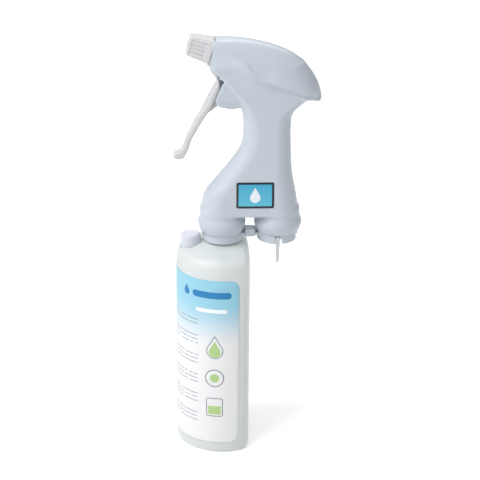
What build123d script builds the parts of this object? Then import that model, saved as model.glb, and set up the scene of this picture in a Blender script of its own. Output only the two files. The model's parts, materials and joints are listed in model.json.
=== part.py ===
"""Trigger spray bottle with two bottle sockets, one of them holding a D-shaped bottle.

Millimetres, +Z up. The origin is on the ground, midway between the two socket axes.
The sprayer sprays towards -X (the front). The user's left hand side is -Y.
"""

import os
from math import cos, radians, sin, sqrt, tan

from build123d import *

# ---------------------------------------------------------------- driving dimensions
WALL = 1.6                  # moulded wall of the head
SOCKET_X = 20.4             # socket axes stand this far in front of and behind the middle
RUN = 0.05                  # radial gap of a running fit
GAP = 0.05                  # gap between pieces that are clipped or glued together

# Bottle
BOTTLE_R = 35.0             # round side of the D
BOTTLE_FLAT_X = -0.3        # flat side of the D
BOTTLE_WALL = 1.2
SIDE_TOP_Z = 152.0          # top of the straight side
SHOULDER_R = 10.0
NECK_BASE_Z = 166.0
NECK_TOP_Z = 182.0
NECK_R = 10.4
NECK_BORE_R = 8.8
BASE_EDGE = 1.5
PUSH_UP = 1.4               # depth of the recess under the base
PUSH_UP_INSET = 8.0

# Sockets
SKIRT_R = 14.8
SKIRT_BORE_R = 13.6
SKIRT_Z = 167.0
LATCH_Z = 171.0             # underside of the latch plate
LATCH_THICK = 2.0
GUIDE_BORE_R = 10.8         # part of the socket that centres the neck
GUIDE_Z = 175.0
GUIDE_TOP_Z = 179.3
CEILING_Z = 184.8
SOCKET_TOP_Z = 187.0
LEG_X = 21.1                # leg axes, a little further apart than the sockets
BEAD_R = 18.0               # rim around each leg
BEAD_Z = 181.3
LEG_R = 16.0
LEG_TOP_Z = 189.0

# Nozzle axis
NOZZLE_TILT = 16.0          # degrees above the horizontal
NOZZLE_ROOT = (-28.9, 314.9)  # X and Z where the nozzle meets the head
NOZZLE_LENGTH = 18.0
NOZZLE_ROOT_SIDE = 16.6
NOZZLE_TIP_SIDE = 14.0
NOZZLE_GAP = 0.4
PIPE_R = 4.2                # discharge pipe
PIPE_BORE_R = 2.0
PIPE_STUB = 9.5             # the discharge pipe reaches this far into the nozzle
SPINNER_R = 3.0
SPINNER_LENGTH = 5.0
VALVE_LENGTH = 3.0

# Pump
PISTON_Z = 281.0
BARREL_R = 8.5
BARREL_BORE_R = 7.0
BARREL_MOUTH_X = -16.5
BARREL_END_X = 6.0
BARREL_FLOOR_X = 4.0
COLUMN_R = 5.4
COLUMN_X = 2.0              # column from the barrel up to the discharge pipe
PIPE_BACK = (COLUMN_X - NOZZLE_ROOT[0]) / cos(radians(NOZZLE_TILT))
HEAD_X = -23.3              # front of the piston's domed head, where the trigger's rib pushes
PISTON_REAR_X = -5.0
SPRING_R = 2.6
SPRING_WIRE = 0.35
INLET_X = 1.5
INLET_LOW_Z = 257.0

# Trigger
PIVOT = (-27.0, 301.5)      # X and Z of the trigger pin
PIVOT_R = 3.4
PIN_R = 1.5
TRIGGER_TOP_HALF = 5.9
TRIGGER_HALF = 6.0
RIB_HALF = 1.4              # rib behind the trigger that pushes the piston
TRIGGER_TRAVEL = 15.0       # degrees
LUG_HALF = 2.6              # the pump's lug inside the trigger's fork

# Studs that join the two shells
STUDS = [(30.0, 297.0), (22.5, 244.0), (0.0, 200.0)]  # X and Z
STUD_R = 1.6
BOSS_R = 3.2
STUD_LENGTH = 4.0
MOUTH_HALF = TRIGGER_TOP_HALF + 0.7  # mouth of the head where the trigger goes in

# Feed lines
TUBE_R = 2.5
TUBE_BORE_R = 1.5
BALL_R = 1.9
BALL_SEAT_R = 1.3
CHAMBER_FLOOR_Z = 188.4     # valve chamber on top of each socket
CHAMBER_TOP_Z = 197.0
SPIGOT_Z = 179.6            # spigot that reaches down into the bottle's neck
SPIGOT_R = 3.2
SEAL_Z = 183.4
INSERT_LOW_Z = 173.0        # plug in the bottle's neck
MANIFOLD_Z = (241.0, 249.5)
MANIFOLD_REAR_X = 9.5

# Latch
LATCH_TRAVEL = 1.4
LATCH_BAR_HALF = 3.7        # the bar is the push button between the sockets
LATCH_BAR_Z = (170.4, 175.2)
LATCH_BAR_DEPTH = 3.0
STRUT_Y = 10.0              # front face of the strut behind the bar
SPRING_Z = 169.6            # latch spring axis

# Index prongs, which key the bottle's shoulder
PRONG_HALF = 1.6
PRONG_TIP_HALF = 1.0
PRONG_TIP_Z = 152.5
PRONG_TOP_Z = 173.3
PRONG_Y = (13.65, 15.3)     # distance of the prong's two faces from the socket axis
KEY_POCKET_R = 2.6

# Filler spout and its cap
CAP_X = -43.2
CAP_R = 7.6
CAP_Z = 161.2
CAP_TOP_Z = 171.4
CAP_HINGE = (-52.3, 161.0)  # X and Z of the hinge pin
CAP_PIN_R = 0.6
KNUCKLE_R = 1.15
SPOUT_R = 4.6
SPOUT_TOP_Z = 166.2

# Stickers
STICKER = 0.25
LABEL_Z = (9.0, 146.0)
LABEL_START = -71.0         # degrees about the bottle axis, from +X
LABEL_SWEEP = 144.0
BADGE_X = (-11.0, 17.0)
BADGE_Z = (197.0, 217.0)


def finish(piece, label):
    """Name a piece and write it to its own file."""
    piece.part.label = label
    export_step(piece.part, f"parts/{label}.step")


def socket_plane(z, side):
    """Horizontal plane on the front (-1) or rear (+1) socket axis, turned half round at the front."""
    return Plane(origin=(side * SOCKET_X, 0, z), x_dir=(side, 0, 0), z_dir=(0, 0, 1))


def nozzle_plane(distance):
    """Plane square to the nozzle axis, its normal towards the spray, distance from the root."""
    tilt = radians(NOZZLE_TILT)
    x = NOZZLE_ROOT[0] - distance * cos(tilt)
    z = NOZZLE_ROOT[1] + distance * sin(tilt)
    return Plane(origin=(x, 0, z), x_dir=(0, 1, 0), z_dir=(-cos(tilt), 0, sin(tilt)))


# ---------------------------------------------------------------- outer form of the head
# Handle sections: height, front X, rear X, half width
HANDLE = [
    (189.0, -36.9, 36.6, 16.4),
    (204.0, -33.9, 34.4, 15.8),
    (217.0, -23.9, 31.8, 14.9),
    (229.0, -14.6, 30.4, 13.8),
    (241.0, -7.4, 29.9, 12.9),
    (256.0, -5.6, 29.6, 12.4),
    (270.0, -7.2, 32.4, 12.2),
    (286.0, -15.7, 36.5, 12.0),
    (302.0, -29.6, 36.5, 9.8),
    (304.5, -30.6, 36.0, 9.0),
]
# Hood sections behind the nozzle: X, underside, top, half width
HOOD = [
    (-14.0, 300.5, 323.4, 12.4),
    (4.0, 292.5, 321.4, 15.6),
    (20.0, 287.5, 316.8, 17.4),
    (35.0, 281.5, 308.4, 16.0),
    (45.0, 278.2, 297.4, 11.6),
    (50.2, 277.2, 286.0, 5.4),
]
HOOD_CORNER = 0.47          # corner radius as a share of the section's smaller side
GUARD_X = -14.5             # centre of the round guard below the hood
GUARD_Z = 295.0
GUARD_R = 24.4
GUARD_HALF = 10.4


def hood_form(inset):
    """Hood from the nozzle to the rear, every side drawn in by inset."""
    with BuildPart() as form:
        side = NOZZLE_ROOT_SIDE + 0.6 - 2 * inset
        with BuildSketch(nozzle_plane(-inset)):
            RectangleRounded(side, side, HOOD_CORNER * side * 0.75)
        for x, low, top, half in HOOD:
            x_in = x if x < HOOD[-1][0] else x - inset
            height = top - low - 2 * inset
            width = 2 * (half - inset)
            plane = Plane(origin=(x_in, 0, (top + low) / 2), x_dir=(0, 1, 0), z_dir=(-1, 0, 0))
            with BuildSketch(plane):
                RectangleRounded(width, height, HOOD_CORNER * min(width, height))
        loft()
    return form.part


def handle_form(inset):
    """Handle from the web between the legs up into the hood."""
    with BuildPart() as form:
        for z, front, rear, half in HANDLE:
            z_in = z + inset if z == HANDLE[0][0] else z
            length = rear - front - 2 * inset
            plane = Plane.XY.offset(z_in)
            plane.origin = Vector((front + rear) / 2, 0, z_in)
            with BuildSketch(plane):
                RectangleRounded(length, 2 * (half - inset), (half - inset) * 0.92)
        loft()
    return form.part


def leg_form(side, inset):
    """Leg with its rim, a turned shape about one socket axis."""
    radius = LEG_R - inset
    with BuildPart() as form:
        with BuildSketch(Plane(origin=(side * LEG_X, 0, 0), x_dir=(1, 0, 0), z_dir=(0, -1, 0))):
            with BuildLine():
                rim = ThreePointArc(
                    (radius, LEG_TOP_Z),
                    (BEAD_R - inset, BEAD_Z),
                    (SKIRT_R + 1.2 - inset * 0.6, SKIRT_Z + 6.5),
                )
                top = LEG_TOP_Z + 0.5 + 2 * inset
                Polyline(rim @ 1, (0, SKIRT_Z + 6.5), (0, top), (radius, top), rim @ 0)
            make_face()
        revolve(axis=Axis((side * LEG_X, 0, 0), (0, 0, 1)))
    return form.part


def guard_form(inset):
    """Round guard below the hood, around the pump barrel, cut back where the trigger comes."""
    with BuildPart() as form:
        with BuildSketch(Plane.XZ.offset(-(GUARD_HALF - inset))):
            with BuildLine():
                top_front = (-17.2 + inset, 291.0)
                low_front = (-21.6 + inset, GUARD_Z - GUARD_R + 1.6 + inset)
                bottom = (GUARD_X, GUARD_Z - GUARD_R + inset)
                rear = (-2.0, GUARD_Z - GUARD_R + 3.4 + inset)
                Line(top_front, low_front)
                ThreePointArc(low_front, bottom, rear)
                Polyline(rear, (6.0, 291.0), top_front)
            make_face()
        extrude(amount=2 * (GUARD_HALF - inset))
    return form.part


def head_form(inset):
    """Whole outside of the head, without the sockets, drawn in by inset."""
    with BuildPart() as form:
        add(handle_form(inset))
        add(hood_form(inset))
        add(leg_form(-1, inset))
        add(leg_form(1, inset))
        add(guard_form(inset))
    return form.part


# ---------------------------------------------------------------- shells
def hollow_head():
    """Both shells in one, before they part at the mid plane."""
    outer = head_form(0)
    inner = head_form(WALL)
    with BuildPart() as head:
        add(outer)
        add(inner, mode=Mode.SUBTRACT)
        for x, z in STUDS:
            with BuildPart(mode=Mode.PRIVATE) as boss:
                with BuildSketch(Plane.XZ.offset(-20)):
                    with Locations((x, z)):
                        Circle(BOSS_R)
                extrude(amount=40)
                add(outer, mode=Mode.INTERSECT)
            add(boss.part)
        # mouth for the top of the trigger
        with BuildSketch(Plane.XZ.offset(-MOUTH_HALF)):
            with BuildLine():
                Polyline(
                    (-34, 297),
                    (-20, 285),
                    (-14, 291),
                    (-15, 302),
                    (-22, 308.4),
                    (-28.6, 308.4),
                    (-30.2, 304.2),
                    (-34, 303.4),
                    close=True,
                )
            make_face()
        extrude(amount=2 * MOUTH_HALF, mode=Mode.SUBTRACT)
        # front of the guard, open for the piston
        with BuildSketch(Plane.XZ.offset(-(GUARD_HALF - WALL))):
            with BuildLine():
                Polyline((-26, 292), (-26, 271.9), (-14, 271.9), (-14, 292), close=True)
            make_face()
        extrude(amount=2 * (GUARD_HALF - WALL), mode=Mode.SUBTRACT)
        # notch in the guard's floor, which the trigger's rib swings into
        with BuildSketch(Plane.XZ.offset(-(RIB_HALF + 0.4))):
            with BuildLine():
                Polyline((-26, 273), (-26, 268), (-17, 268), (-17, 273), close=True)
            make_face()
        extrude(amount=2 * (RIB_HALF + 0.4), mode=Mode.SUBTRACT)
        # seat of the pump barrel
        with BuildSketch(Plane.YZ.offset(BARREL_MOUTH_X)):
            with Locations((0, PISTON_Z)):
                Circle(BARREL_R + 0.4)
        extrude(amount=BARREL_END_X - BARREL_MOUTH_X, mode=Mode.SUBTRACT)
        # hole for the discharge pipe
        with BuildSketch(nozzle_plane(1)):
            Circle(PIPE_R + 0.4)
        extrude(amount=-6, mode=Mode.SUBTRACT)
        # bores that seat the two sockets
        for leg in (-1, 1):
            with BuildSketch(socket_plane(SKIRT_Z, leg)):
                Circle(SKIRT_R + GAP)
            extrude(amount=SOCKET_TOP_Z + GAP - SKIRT_Z, mode=Mode.SUBTRACT)
    return head.solids().sort_by(SortBy.VOLUME)[-1]


def shell(head, side):
    """One half of the head. side is -1 for the left shell and +1 for the right shell."""
    with BuildPart() as half:
        add(head)
        split(bisect_by=Plane.XZ, keep=Keep.TOP if side < 0 else Keep.BOTTOM)
        for x, z in STUDS:
            with BuildSketch(Plane.XZ.offset(-STUD_LENGTH)):
                with Locations((x, z)):
                    Circle(STUD_R if side < 0 else STUD_R + GAP)
            extrude(amount=STUD_LENGTH + 1.0, mode=Mode.ADD if side < 0 else Mode.SUBTRACT)
    return half


def coil(radius, wire, length, turns, start, direction):
    """Open coil spring of a stated length, from a start point along a direction."""
    height = length - 2 * wire
    foot = Vector(*start) + Vector(*direction) * wire
    with BuildPart() as spring:
        with BuildLine() as path:
            Helix(pitch=height / turns, height=height, radius=radius, center=foot, direction=direction)
        with BuildSketch(Plane(origin=path.line @ 0, z_dir=path.line % 0)):
            Circle(wire)
        sweep(path=path.line, is_frenet=True)
    return spring


# ---------------------------------------------------------------- pump
def make_pump_body():
    """Barrel, column and discharge pipe in one moulding, with the lug for the trigger pin."""
    column_top = NOZZLE_ROOT[1] - (COLUMN_X - NOZZLE_ROOT[0]) * tan(radians(NOZZLE_TILT))
    with BuildPart() as pump:
        with BuildSketch(Plane.YZ.offset(BARREL_MOUTH_X)):
            with Locations((0, PISTON_Z)):
                Circle(BARREL_R)
        extrude(amount=BARREL_END_X - BARREL_MOUTH_X)
        with BuildSketch(Plane.XY.offset(PISTON_Z + 2)):
            with Locations((COLUMN_X, 0)):
                Circle(COLUMN_R)
        extrude(amount=column_top - PISTON_Z + 1)
        with BuildSketch(nozzle_plane(-PIPE_BACK)):
            Circle(PIPE_R)
        extrude(amount=PIPE_BACK + PIPE_STUB)
        with BuildSketch(Plane.XY.offset(INLET_LOW_Z)):
            with Locations((INLET_X, 0)):
                Circle(TUBE_R + 1.2)
        extrude(amount=PISTON_Z - 3 - INLET_LOW_Z)
        with BuildSketch(Plane.XZ.offset(-(LUG_HALF))):
            with Locations(PIVOT):
                Circle(PIVOT_R - 0.2)
            with BuildLine():
                Polyline(
                    (PIVOT[0] - 1.2, PIVOT[1]),
                    (PIVOT[0] + 3.2, PIVOT[1]),
                    (PIVOT[0] + 5.0, PIVOT[1] + 9.5),
                    (PIVOT[0] - 1.2, PIVOT[1] + 9.5),
                    close=True,
                )
            make_face()
        extrude(amount=2 * LUG_HALF)
        # bores
        with BuildSketch(Plane.YZ.offset(BARREL_MOUTH_X)):
            with Locations((0, PISTON_Z)):
                Circle(BARREL_BORE_R)
        extrude(amount=BARREL_FLOOR_X - BARREL_MOUTH_X, mode=Mode.SUBTRACT)
        with BuildSketch(Plane.XY.offset(PISTON_Z + 2)):
            with Locations((COLUMN_X, 0)):
                Circle(1.6)
        extrude(amount=column_top - PISTON_Z - 1.5, mode=Mode.SUBTRACT)
        with BuildSketch(nozzle_plane(-PIPE_BACK + 1)):
            Circle(PIPE_BORE_R)
        extrude(amount=PIPE_BACK + PIPE_STUB - 1, mode=Mode.SUBTRACT)
        with BuildSketch(nozzle_plane(PIPE_STUB)):
            Circle(SPINNER_R + GAP)
        extrude(amount=-(SPINNER_LENGTH + VALVE_LENGTH), mode=Mode.SUBTRACT)
        with BuildSketch(Plane.XY.offset(INLET_LOW_Z)):
            with Locations((INLET_X, 0)):
                Circle(TUBE_R + GAP)
        extrude(amount=10, mode=Mode.SUBTRACT)
        with BuildSketch(Plane.XY.offset(INLET_LOW_Z)):
            with Locations((INLET_X, 0)):
                Circle(TUBE_BORE_R)
        extrude(amount=PISTON_Z - INLET_LOW_Z, mode=Mode.SUBTRACT)
        with BuildSketch(Plane.XZ.offset(-10)):
            with Locations(PIVOT):
                Circle(PIN_R + GAP)
        extrude(amount=20, mode=Mode.SUBTRACT)
    return pump


def make_piston():
    """Hollow piston with a domed head and a groove for its seal."""
    shaft_r = BARREL_BORE_R - 0.4
    with BuildPart() as piston:
        with BuildSketch(Plane.XZ):
            with BuildLine():
                dome = ThreePointArc(
                    (HEAD_X, PISTON_Z),
                    (HEAD_X + 0.8, PISTON_Z + 3.0),
                    (HEAD_X + 3.4, PISTON_Z + 5.6),
                )
                Polyline(
                    dome @ 1,
                    (HEAD_X + 5.0, PISTON_Z + 5.6),
                    (HEAD_X + 5.0, PISTON_Z + shaft_r),
                    (PISTON_REAR_X - 3.0, PISTON_Z + shaft_r),
                    (PISTON_REAR_X - 3.0, PISTON_Z + shaft_r - 1.2),
                    (PISTON_REAR_X - 1.2, PISTON_Z + shaft_r - 1.2),
                    (PISTON_REAR_X - 1.2, PISTON_Z + shaft_r),
                    (PISTON_REAR_X, PISTON_Z + shaft_r),
                    (PISTON_REAR_X, PISTON_Z + SPRING_R + 1.0),
                    (HEAD_X + 3.0, PISTON_Z + SPRING_R + 1.0),
                    (HEAD_X + 3.0, PISTON_Z),
                    dome @ 0,
                )
            make_face()
        revolve(axis=Axis((0, 0, PISTON_Z), (1, 0, 0)))
    return piston


def make_piston_seal():
    """Ring in the piston's groove, a running fit in the barrel."""
    with BuildPart() as seal:
        with BuildSketch(Plane.YZ.offset(PISTON_REAR_X - 3.0 + GAP)):
            with Locations((0, PISTON_Z)):
                Circle(BARREL_BORE_R - RUN)
                Circle(BARREL_BORE_R - 1.6 + GAP, mode=Mode.SUBTRACT)
        extrude(amount=1.8 - 2 * GAP)
    return seal


def make_return_spring():
    """Coil inside the hollow piston, from its head to the floor of the barrel."""
    front = HEAD_X + 3.1
    length = BARREL_FLOOR_X - 0.1 - front
    return coil(SPRING_R, SPRING_WIRE, length, 7, (front, 0, PISTON_Z), (1, 0, 0))


# ---------------------------------------------------------------- trigger
def rib_edge_x(z):
    """X of the rib's pushing edge at a height, at rest.

    The edge leans back by half the trigger's travel, so that it passes upright through the
    middle of the stroke and the piston moves evenly with it.
    """
    return HEAD_X - 0.15 + (z - PISTON_Z) * tan(radians(TRIGGER_TRAVEL / 2))


def make_trigger():
    """Channel-shaped trigger with a fork for the pin and a rib that pushes the piston."""
    with BuildPart() as trigger:
        with BuildSketch(Plane.XZ.offset(-TRIGGER_HALF)):
            with BuildLine():
                front = Spline(
                    (-30.6, 301.6),
                    (-25.9, 292.4),
                    (-30.9, 279.5),
                    (-44.7, 254.8),
                    (-49.0, 245.0),
                    (-50.9, 239.6),
                )
                lip = ThreePointArc(front @ 1, (-53.0, 237.0), (-56.2, 236.2))
                end = ThreePointArc(lip @ 1, (-57.6, 233.8), (-56.0, 231.6))
                curl = ThreePointArc(end @ 1, (-49.6, 232.4), (-46.4, 238.6))
                back = Spline(
                    curl @ 1,
                    (-43.9, 246.4),
                    (-38.8, 256.2),
                    (-26.6, 277.8),
                    (-22.4, 287.6),
                    (-23.4, 293.0),
                    (-24.6, 299.0),
                )
                Line(back @ 1, front @ 0)
            make_face()
        extrude(amount=2 * TRIGGER_HALF)
        # narrower where it enters the head
        for side in (-1, 1):
            with BuildSketch(Plane.YZ.offset(-70)):
                with BuildLine():
                    Polyline(
                        (side * TRIGGER_TOP_HALF, 310),
                        (side * TRIGGER_TOP_HALF, 288),
                        (side * TRIGGER_HALF, 280),
                        (side * 20, 280),
                        (side * 20, 310),
                        close=True,
                    )
                make_face()
            extrude(amount=70, mode=Mode.SUBTRACT)
        with BuildSketch(Plane.XZ.offset(-TRIGGER_TOP_HALF)):
            with Locations(PIVOT):
                Circle(PIVOT_R)
        extrude(amount=2 * TRIGGER_TOP_HALF)
        # slot of the fork
        with BuildSketch(Plane.XZ.offset(-(LUG_HALF + 0.3))):
            with BuildLine():
                Polyline((-31.5, 297.6), (-18, 297.6), (-18, 310), (-36, 310), (-36, 302), close=True)
            make_face()
        extrude(amount=2 * (LUG_HALF + 0.3), mode=Mode.SUBTRACT)
        # rib
        with BuildSketch(Plane.XZ.offset(-RIB_HALF)):
            with BuildLine():
                Polyline(
                    (rib_edge_x(288), 288),
                    (rib_edge_x(272), 272),
                    (-34.5, 265),
                    (-30.0, 278),
                    (-25.0, 288),
                    close=True,
                )
            make_face()
        extrude(amount=2 * RIB_HALF)
        with BuildSketch(Plane.XZ.offset(-10)):
            with Locations(PIVOT):
                Circle(PIN_R + RUN)
        extrude(amount=20, mode=Mode.SUBTRACT)
    return trigger


def make_trigger_pin():
    """Pin through the fork and the pump's lug."""
    with BuildPart() as pin:
        with BuildSketch(Plane.XZ.offset(-(TRIGGER_TOP_HALF + 0.4))):
            with Locations(PIVOT):
                Circle(PIN_R)
        extrude(amount=2 * (TRIGGER_TOP_HALF + 0.4))
    return pin


# ---------------------------------------------------------------- nozzle
def make_nozzle_cap():
    """Tapered rounded-square cap with grip ribs, turning on the end of the discharge pipe."""
    with BuildPart() as cap:
        with BuildSketch(nozzle_plane(NOZZLE_GAP)):
            RectangleRounded(NOZZLE_ROOT_SIDE, NOZZLE_ROOT_SIDE, 5.2)
        with BuildSketch(nozzle_plane(NOZZLE_LENGTH)):
            RectangleRounded(NOZZLE_TIP_SIDE, NOZZLE_TIP_SIDE, 4.2)
        loft()
        with BuildSketch(nozzle_plane(NOZZLE_GAP)):
            Circle(PIPE_R + RUN)
        extrude(amount=PIPE_STUB + 0.3 - NOZZLE_GAP, mode=Mode.SUBTRACT)
        with BuildSketch(nozzle_plane(NOZZLE_LENGTH)):
            Circle(3.6)
        extrude(amount=-5.0, mode=Mode.SUBTRACT)
        with BuildSketch(nozzle_plane(NOZZLE_LENGTH)):
            Circle(0.5)
        extrude(amount=-12, mode=Mode.SUBTRACT)
    return cap


def make_spinner():
    """Swirl plug in the end of the discharge pipe, with four flow slots."""
    with BuildPart() as spinner:
        with BuildSketch(nozzle_plane(PIPE_STUB - GAP)):
            Circle(SPINNER_R)
            with PolarLocations(SPINNER_R, 4):
                Rectangle(1.2, 1.2, mode=Mode.SUBTRACT)
        extrude(amount=-(SPINNER_LENGTH - 2 * GAP))
    return spinner


def make_outlet_valve():
    """Rubber duckbill behind the spinner: an open ring with a pointed beak."""
    seat = PIPE_STUB - SPINNER_LENGTH - VALVE_LENGTH
    with BuildPart() as valve:
        with BuildSketch(nozzle_plane(seat + GAP)):
            Circle(SPINNER_R)
            Circle(1.4, mode=Mode.SUBTRACT)
        extrude(amount=0.9)
        with BuildSketch(nozzle_plane(seat + 0.9)):
            Circle(1.9)
            Circle(1.4, mode=Mode.SUBTRACT)
        extrude(amount=1.6)
    return valve


# ---------------------------------------------------------------- feed lines
def make_manifold():
    """Block that joins the two feed lines and plugs into the pump's inlet."""
    low, high = MANIFOLD_Z
    middle = (INLET_X + MANIFOLD_REAR_X) / 2
    span = MANIFOLD_REAR_X - INLET_X
    with BuildPart() as block:
        with BuildSketch(Plane.XY.offset(low)):
            with Locations((middle, 0)):
                RectangleRounded(span + 7.6, 7.6, 3.6)
        extrude(amount=high - low)
        with BuildSketch(Plane.XY.offset(high)):
            with Locations((INLET_X, 0)):
                Circle(TUBE_R)
        extrude(amount=INLET_LOW_Z + 9 - high)
        with BuildSketch(Plane.XY.offset(low)):
            with Locations((INLET_X, 0), (MANIFOLD_REAR_X, 0)):
                Circle(TUBE_R + GAP)
        extrude(amount=4.5, mode=Mode.SUBTRACT)
        with BuildSketch(Plane.XY.offset(low)):
            with Locations((INLET_X, 0)):
                Circle(TUBE_BORE_R)
        extrude(amount=INLET_LOW_Z + 10 - low, mode=Mode.SUBTRACT)
        with BuildSketch(Plane.YZ.offset(INLET_X)):
            with Locations((0, low + 5.6)):
                Circle(1.2)
        extrude(amount=span, mode=Mode.SUBTRACT)
    return block


def make_feed_tube(side):
    """Hose from a socket's valve chamber up to the manifold."""
    start = (side * SOCKET_X, 0, CHAMBER_TOP_Z - 3.8)
    end = (INLET_X if side < 0 else MANIFOLD_REAR_X, 0, MANIFOLD_Z[0] + 4.3)
    with BuildPart() as hose:
        with BuildLine() as path:
            Line(start, (start[0], 0, start[2] + 4.2))
            Spline(
                (start[0], 0, start[2] + 4.2),
                (end[0], 0, end[2] - 4.6),
                tangents=((0, 0, 1), (0, 0, 1)),
            )
            Line((end[0], 0, end[2] - 4.6), end)
        with BuildSketch(Plane(origin=start, z_dir=(0, 0, 1))):
            Circle(TUBE_R)
            Circle(TUBE_BORE_R, mode=Mode.SUBTRACT)
        sweep(path=path.wire())
    return hose


def make_inlet_ball(side):
    """Check ball on its seat in the valve chamber."""
    rise = sqrt(BALL_R**2 - BALL_SEAT_R**2) + 0.03
    with BuildPart(Plane(origin=(side * SOCKET_X, 0, CHAMBER_FLOOR_Z + rise))) as ball:
        Sphere(BALL_R)
    return ball


# ---------------------------------------------------------------- sockets
def make_socket_frame():
    """Both sockets and the strut behind the release bar, one moulding."""
    with BuildPart() as frame:
        for side in (-1, 1):
            with BuildSketch(Plane(origin=(side * SOCKET_X, 0, 0), x_dir=(1, 0, 0), z_dir=(0, -1, 0))):
                with BuildLine():
                    Polyline(
                        (SKIRT_BORE_R, SKIRT_Z),
                        (SKIRT_R, SKIRT_Z),
                        (SKIRT_R, SOCKET_TOP_Z),
                        (4.4, SOCKET_TOP_Z),
                        (4.4, CHAMBER_TOP_Z),
                        (TUBE_R + GAP, CHAMBER_TOP_Z),
                        (TUBE_R + GAP, CHAMBER_TOP_Z - 4),
                        (2.2, CHAMBER_TOP_Z - 4),
                        (2.2, CHAMBER_FLOOR_Z),
                        (BALL_SEAT_R, CHAMBER_FLOOR_Z),
                        (BALL_SEAT_R, SPIGOT_Z),
                        (SPIGOT_R, SPIGOT_Z),
                        (SPIGOT_R, CEILING_Z),
                        (GUIDE_BORE_R + 0.8, CEILING_Z),
                        (GUIDE_BORE_R + 0.8, GUIDE_TOP_Z),
                        (GUIDE_BORE_R, GUIDE_TOP_Z),
                        (GUIDE_BORE_R, GUIDE_Z),
                        (SKIRT_BORE_R, GUIDE_Z),
                        close=True,
                    )
                make_face()
            revolve(axis=Axis((side * SOCKET_X, 0, 0), (0, 0, 1)))
        # strut for the latch spring, its ends inside the skirts' walls
        with BuildSketch(Plane.XY.offset(SKIRT_Z + 0.6)):
            with Locations((0, STRUT_Y + 1.1)):
                Rectangle(28, 2.2)
            with Locations((-SOCKET_X, 0), (SOCKET_X, 0)):
                Circle((SKIRT_R + SKIRT_BORE_R) / 2, mode=Mode.SUBTRACT)
        extrude(amount=3.8)
        for side in (-1, 1):
            # windows for the latch plate, towards the middle and on the outside
            with BuildSketch(Plane.XY.offset(LATCH_Z - 0.1)):
                with Locations((side * (SOCKET_X - 13.5), 0)):
                    Rectangle(7.0, 12.4)
                with Locations((side * (SOCKET_X + 14.2), 0)):
                    Rectangle(2.6, 7.2)
            extrude(amount=LATCH_THICK + 0.2, mode=Mode.SUBTRACT)
            # slot that holds the index prong
            with BuildSketch(socket_plane(SKIRT_Z - 1, side)):
                with Locations((0, -SKIRT_R)):
                    Rectangle(2 * (PRONG_HALF + GAP), 6)
            extrude(amount=PRONG_TOP_Z + GAP - SKIRT_Z + 1, mode=Mode.SUBTRACT)
    return frame


def make_latch_slide():
    """Release bar with a ring around each neck, at rest towards the user's left."""
    low, high = LATCH_BAR_Z
    rest = -LATCH_TRAVEL / 2
    inner = GUIDE_BORE_R + LATCH_TRAVEL / 2 + GAP
    outer = SKIRT_BORE_R - LATCH_TRAVEL / 2 - GAP
    with BuildPart() as latch:
        with BuildSketch(Plane.XY.offset(LATCH_Z)):
            with Locations((0, rest)):
                Rectangle(2 * (SOCKET_X - 12.2), 10.4)
            with Locations((-SOCKET_X - 13.9, rest), (SOCKET_X + 13.9, rest)):
                Rectangle(3.6, 5.2)
            with Locations((-SOCKET_X, rest), (SOCKET_X, rest)):
                Circle(outer)
            with Locations((-SOCKET_X, rest), (SOCKET_X, rest)):
                Circle(inner, mode=Mode.SUBTRACT)
        extrude(amount=LATCH_THICK)
        with BuildSketch(Plane.XY.offset(low)):
            Rectangle(2 * LATCH_BAR_HALF, 2 * LATCH_BAR_DEPTH)
        extrude(amount=high - low)
        with BuildSketch(Plane.XY.offset(SPRING_Z - 1.4)):
            with Locations((0, LATCH_BAR_DEPTH - 1)):
                Rectangle(4, 2)
        extrude(amount=high - SPRING_Z)
        fillet(latch.edges().filter_by(Axis.X).group_by(Axis.Z)[-1], radius=0.8)
    return latch


def make_latch_spring():
    """Coil between the release bar and the strut."""
    front = LATCH_BAR_DEPTH + 0.1
    return coil(1.05, 0.25, STRUT_Y - 0.1 - front, 6, (0, front, SPRING_Z), (0, 1, 0))


def make_index_prong(side):
    """Tapered prong that stands in the skirt's slot and keys the bottle's shoulder."""
    with BuildPart() as prong:
        foot = (side * SOCKET_X, -side * PRONG_Y[0], 0)
        with BuildSketch(Plane(origin=foot, x_dir=(side, 0, 0), z_dir=(0, -side, 0))):
            with BuildLine():
                Polyline(
                    (-PRONG_HALF, SKIRT_Z),
                    (-PRONG_HALF, PRONG_TOP_Z - 1.6),
                    (0, PRONG_TOP_Z),
                    (PRONG_HALF, PRONG_TOP_Z - 1.6),
                    (PRONG_HALF, SKIRT_Z),
                    (PRONG_TIP_HALF, PRONG_TIP_Z),
                    (-PRONG_TIP_HALF, PRONG_TIP_Z),
                    close=True,
                )
            make_face()
        extrude(amount=PRONG_Y[1] - PRONG_Y[0])
    return prong


def make_neck_seal(side):
    """Flat ring under the socket's ceiling."""
    with BuildPart() as seal:
        with BuildSketch(Plane.XY.offset(SEAL_Z)):
            with Locations((side * SOCKET_X, 0)):
                Circle(NECK_R)
                Circle(SPIGOT_R + GAP, mode=Mode.SUBTRACT)
        extrude(amount=CEILING_Z - GAP - SEAL_Z)
    return seal


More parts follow.
